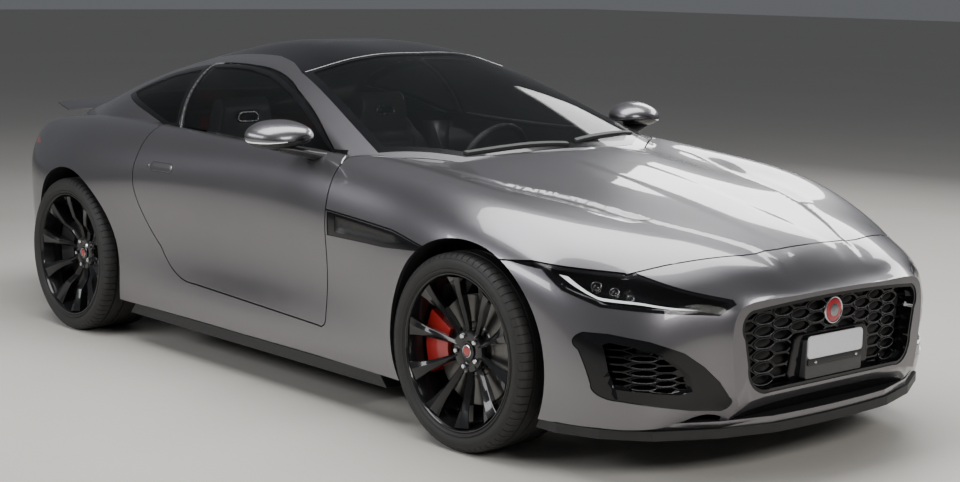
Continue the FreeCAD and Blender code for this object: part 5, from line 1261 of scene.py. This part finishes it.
# Side intakes: a gloss surround let into the bumper round a mesh of ringed cells, the lower half of each
# ring with a painted highlight in bright satin. Each cell lies flat in the face, sheared to the bumper's
# slope. Its outline is (y, z).
smooth_panel("side_intakes", black_lacquer, 0.0045)
MESH_OUTLINE = [(0.592, 0.309), (0.634, 0.299), (0.722, 0.308), (0.791, 0.316), (0.805, 0.373),
                (0.811, 0.454), (0.799, 0.463), (0.735, 0.447), (0.677, 0.422), (0.610, 0.365)]
MESH_ACROSS, MESH_UP, MESH_REACH, MESH_DEEP = 0.060, 0.023, (0.033, 0.016, 0.009), 0.0268
cells = cells_within(range(8, 16), range(11, 22), MESH_ACROSS, MESH_UP, MESH_REACH, MESH_OUTLINE)
cells = aim = np.array(cells)
for _ in range(5):
    place, outward = lower.meet(aim, 0)
    sunk = place - outward * MESH_DEEP
    aim = aim + (cells - sunk[:, 1:])
cell = cell_path(MESH_ACROSS, MESH_UP, 0.005, 0.007)
mesh_ring = swept("ring", cell, [(-0.0022, -0.001), (-0.0020, 0.0010), (-0.0008, 0.0020), (0.0006, 0.0016),
                                 (0.0010, 0.0), (0.0014, -0.0085), (0.0, -0.0085)])
# Painted highlight on the lower half of each mesh ring, as in the grille.
mesh_highlight_edge = highlight_lower_edge(cell, [(-0.0014, 0.0016), (-0.0012, 0.0025), (0.0006, 0.0022), (0.0008, 0.0012)])
both = []
for shape, finish in ((mesh_ring, black_lacquer), (mesh_highlight_edge, satin_and_painted_highlight)):
    copies = spread(shape, sunk, [(1, 0, 0)] * len(sunk), finish)
    each = len(copies.vertices) // len(sunk)
    for k, vertex in enumerate(copies.vertices):
        way = outward[k // each]
        off = vertex.co - Vector(sunk[k // each])
        vertex.co.x -= (off.y * way[1] + off.z * way[2]) / way[0]
    both.append(copies)
both = joined("intake_cells", *both)
for side, sided in SIDES:
    add_piece("intake_cells_" + side, sided(both), nodes["side_intakes"]["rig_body"], "gloss_black")

# Nose undercut: painted shade, a gloss black strip laid over the body-coloured underside of the nose below
# the grille, from the lip's top up to the line (y, z) where the nose's lower edge turns in, dark as the
# shade that falls there.
LIP_TOP = 0.2046
UNDERCUT = [(0.452, 0.2075), (0.440, 0.2190), (0.400, 0.2290), (0.250, 0.2420), (0.100, 0.2450),
            (0.0, 0.2455)]
undercut_top = softened([(-y, z) for y, z in UNDERCUT] + UNDERCUT[-2::-1], 0.01, closed=False)
rings = [nose_face([(y, LIP_TOP + (z - LIP_TOP) * share) for y, z in undercut_top], -height)
         for share, height in ((0.0, -0.001), (0.0, 0.0005), (0.25, 0.0006), (0.5, 0.0006), (0.75, 0.0006),
                               (1.0, 0.0005), (1.0, -0.001))]
painted_shade_strip = new_mesh("painted_shade_strip", np.concatenate(rings),
                    lattice(len(rings), len(undercut_top), loop_rings=True, loop_columns=False), 40)
add_piece("nose_undercut", painted_shade_strip, nodes["front_bumper"]["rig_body"], "gloss_black", finish=black_lacquer)

# Day lights: a clear moulded guide in each lamp that shines white on its face, thick at its
# outer end and thin along the lamp's lower edge, in a black carrier. Its rails are (x, z).
GUIDE = ((0, -0.040), (0, -0.0185), (0.08, -0.0165), (0.92, -0.0165), (1, -0.0185), (1, -0.040))
low_rail = [(1.757, 0.665), (1.806, 0.637), (1.856, 0.612), (1.903, 0.592), (2.004, 0.5865), (2.070, 0.574),
            (2.134, 0.561)]
high_rail = [(1.789, 0.6605), (1.823, 0.640), (1.858, 0.620), (1.893, 0.6035), (2.002, 0.5945),
             (2.068, 0.581), (2.132, 0.567)]
rails = softened(np.stack([low_rail, high_rail], 1), 0.008, closed=False)
strip = painted(band("guide", lower, 1, rails[:, 0], rails[:, 1], section=GUIDE, closed=False), guide)
strip.materials.append(black_lacquer)
_, outward, _ = lower.nearest(np.array([face.center for face in strip.polygons]))
for face, way in zip(strip.polygons, outward):
    face.material_index = 0 if abs(face.normal.dot(Vector(way))) > 0.6 else 1
add_piece("day_guides", joined("day_guides", strip, mirrored_mesh(strip)), nodes["day_lights"]["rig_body"],
          "lamp_white", "day_lights")

# Headlamp lenses: three glass domes in bright rings, screwed to the bowl behind each cover.
# Each lens has its place (x, z) on the lamp and its radius.
LENS_DEEP = 0.036
lenses = []
for x, z, radius in ((1.866, 0.645, 0.0175), (1.918, 0.630, 0.0165), (1.966, 0.613, 0.0130)):
    for side in (1, -1):
        (spot,), (way,) = lower.meet([(x, z)], 1, side)
        stand = (Matrix.Translation(Vector(spot - way * LENS_DEEP))
                 @ Vector(way).to_track_quat("Y", "Z").to_matrix().to_4x4())
        bezel = turned("bezel", [(-0.010, radius), (0.006, radius), (0.0075, radius - 0.0012),
                                 (0.0070, radius - 0.0026), (0.0030, radius - 0.0032),
                                 (-0.010, radius - 0.0032)], 40)
        dome = turned("dome", [(-0.009, 0.0004), (-0.009, radius - 0.0034), (0.0030, radius - 0.0034),
                               (0.0068, radius * 0.62), (0.0088, radius * 0.30), (0.0094, 0.0004)],
                      40, sharp=50)
        for mesh, finish in ((bezel, post_bright), (dome, rim_black)):
            mesh.transform(stand)
            lenses.append(painted(mesh, finish))
add_piece("lamp_lenses", joined("lamp_lenses", *lenses), nodes["headlamps"]["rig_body"], "bright")

# Seat head frames: a satin bright ring, moulded and plated, pressed into the front of each
# seat's head slot.
FRAME_X, BACK_LEAN = -0.6330, math.radians(-3)
slot_path = softened([(-0.050, 0.9555), (0.050, 0.9555), (0.044, 0.9885), (-0.044, 0.9885)], 0.010)
frame_ring = swept("frame_ring", slot_path, [(-0.0060, -0.012), (-0.0060, 0.0005), (-0.0045, 0.0020),
                                             (-0.0015, 0.0020), (0.0, 0.0005), (0.0, -0.012)])
frame_ring.transform(Matrix.Rotation(BACK_LEAN, 4, "Y"))
frame_rings = []
for side in (1, -1):
    frame_rings.append(frame_ring.copy())
    frame_rings[-1].transform(Matrix.Translation((FRAME_X, side * SEAT_Y, 0.0)))
add_piece("head_frames", joined("head_frames", *frame_rings), nodes["seats"]["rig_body"], "bright",
          finish=post_bright)

# Rear wing: a pressed and lacquered blade, raised off the tailgate on two moulded struts, as
# it stands in the photo. Its section is a share of the chord from its leading edge, and a height.
WING_HALF, WING_LEAD, WING_TRAIL, WING_Z = 0.500, -2.062, -2.224, 0.9200
WING_PITCH, WING_BOW, WING_SWEEP, WING_DROOP = 0.026, 0.040, 0.010, 0.010
WING_SECTION = ((0.0, 0.001), (0.10, 0.0075), (0.35, 0.0105), (0.70, 0.0105), (0.93, 0.0125), (1.0, 0.0120),
                (1.0, 0.0060), (0.80, 0.0005), (0.35, -0.0030), (0.08, -0.0035))
wing_rings = []
for share in np.linspace(-1, 1, 33):
    lead, trail = WING_LEAD - WING_SWEEP * share ** 2, WING_TRAIL + WING_BOW * share ** 2
    thick, sag = 1 - 0.5 * abs(share) ** 8, WING_DROOP * share ** 2
    wing_rings.append([(lead + (trail - lead) * along, share * WING_HALF,
                        WING_Z + WING_PITCH * along + high * thick - sag) for along, high in WING_SECTION])
wing = [painted(closed_loft("wing", wing_rings, 30), paint)]
# A strut's stations: place (x, z) and half length.
STRUT_Y, STRUT_HALF = 0.300, 0.011
STRUT = ((-2.090, 0.885, 0.034), (-2.105, 0.905, 0.030), (-2.120, 0.9255, 0.034))
for side in (1, -1):
    strut_rings = [oval((x, side * STRUT_Y, z), (half, 0, 0), (0, STRUT_HALF, 0), 0.9, 24)
                   for x, z, half in STRUT]
    wing.append(painted(closed_loft("strut", strut_rings), satin))
add_piece("raised_wing", joined("wing", *wing), nodes["rear_spoiler"]["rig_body"], "body_paint",
          "rear_spoiler")
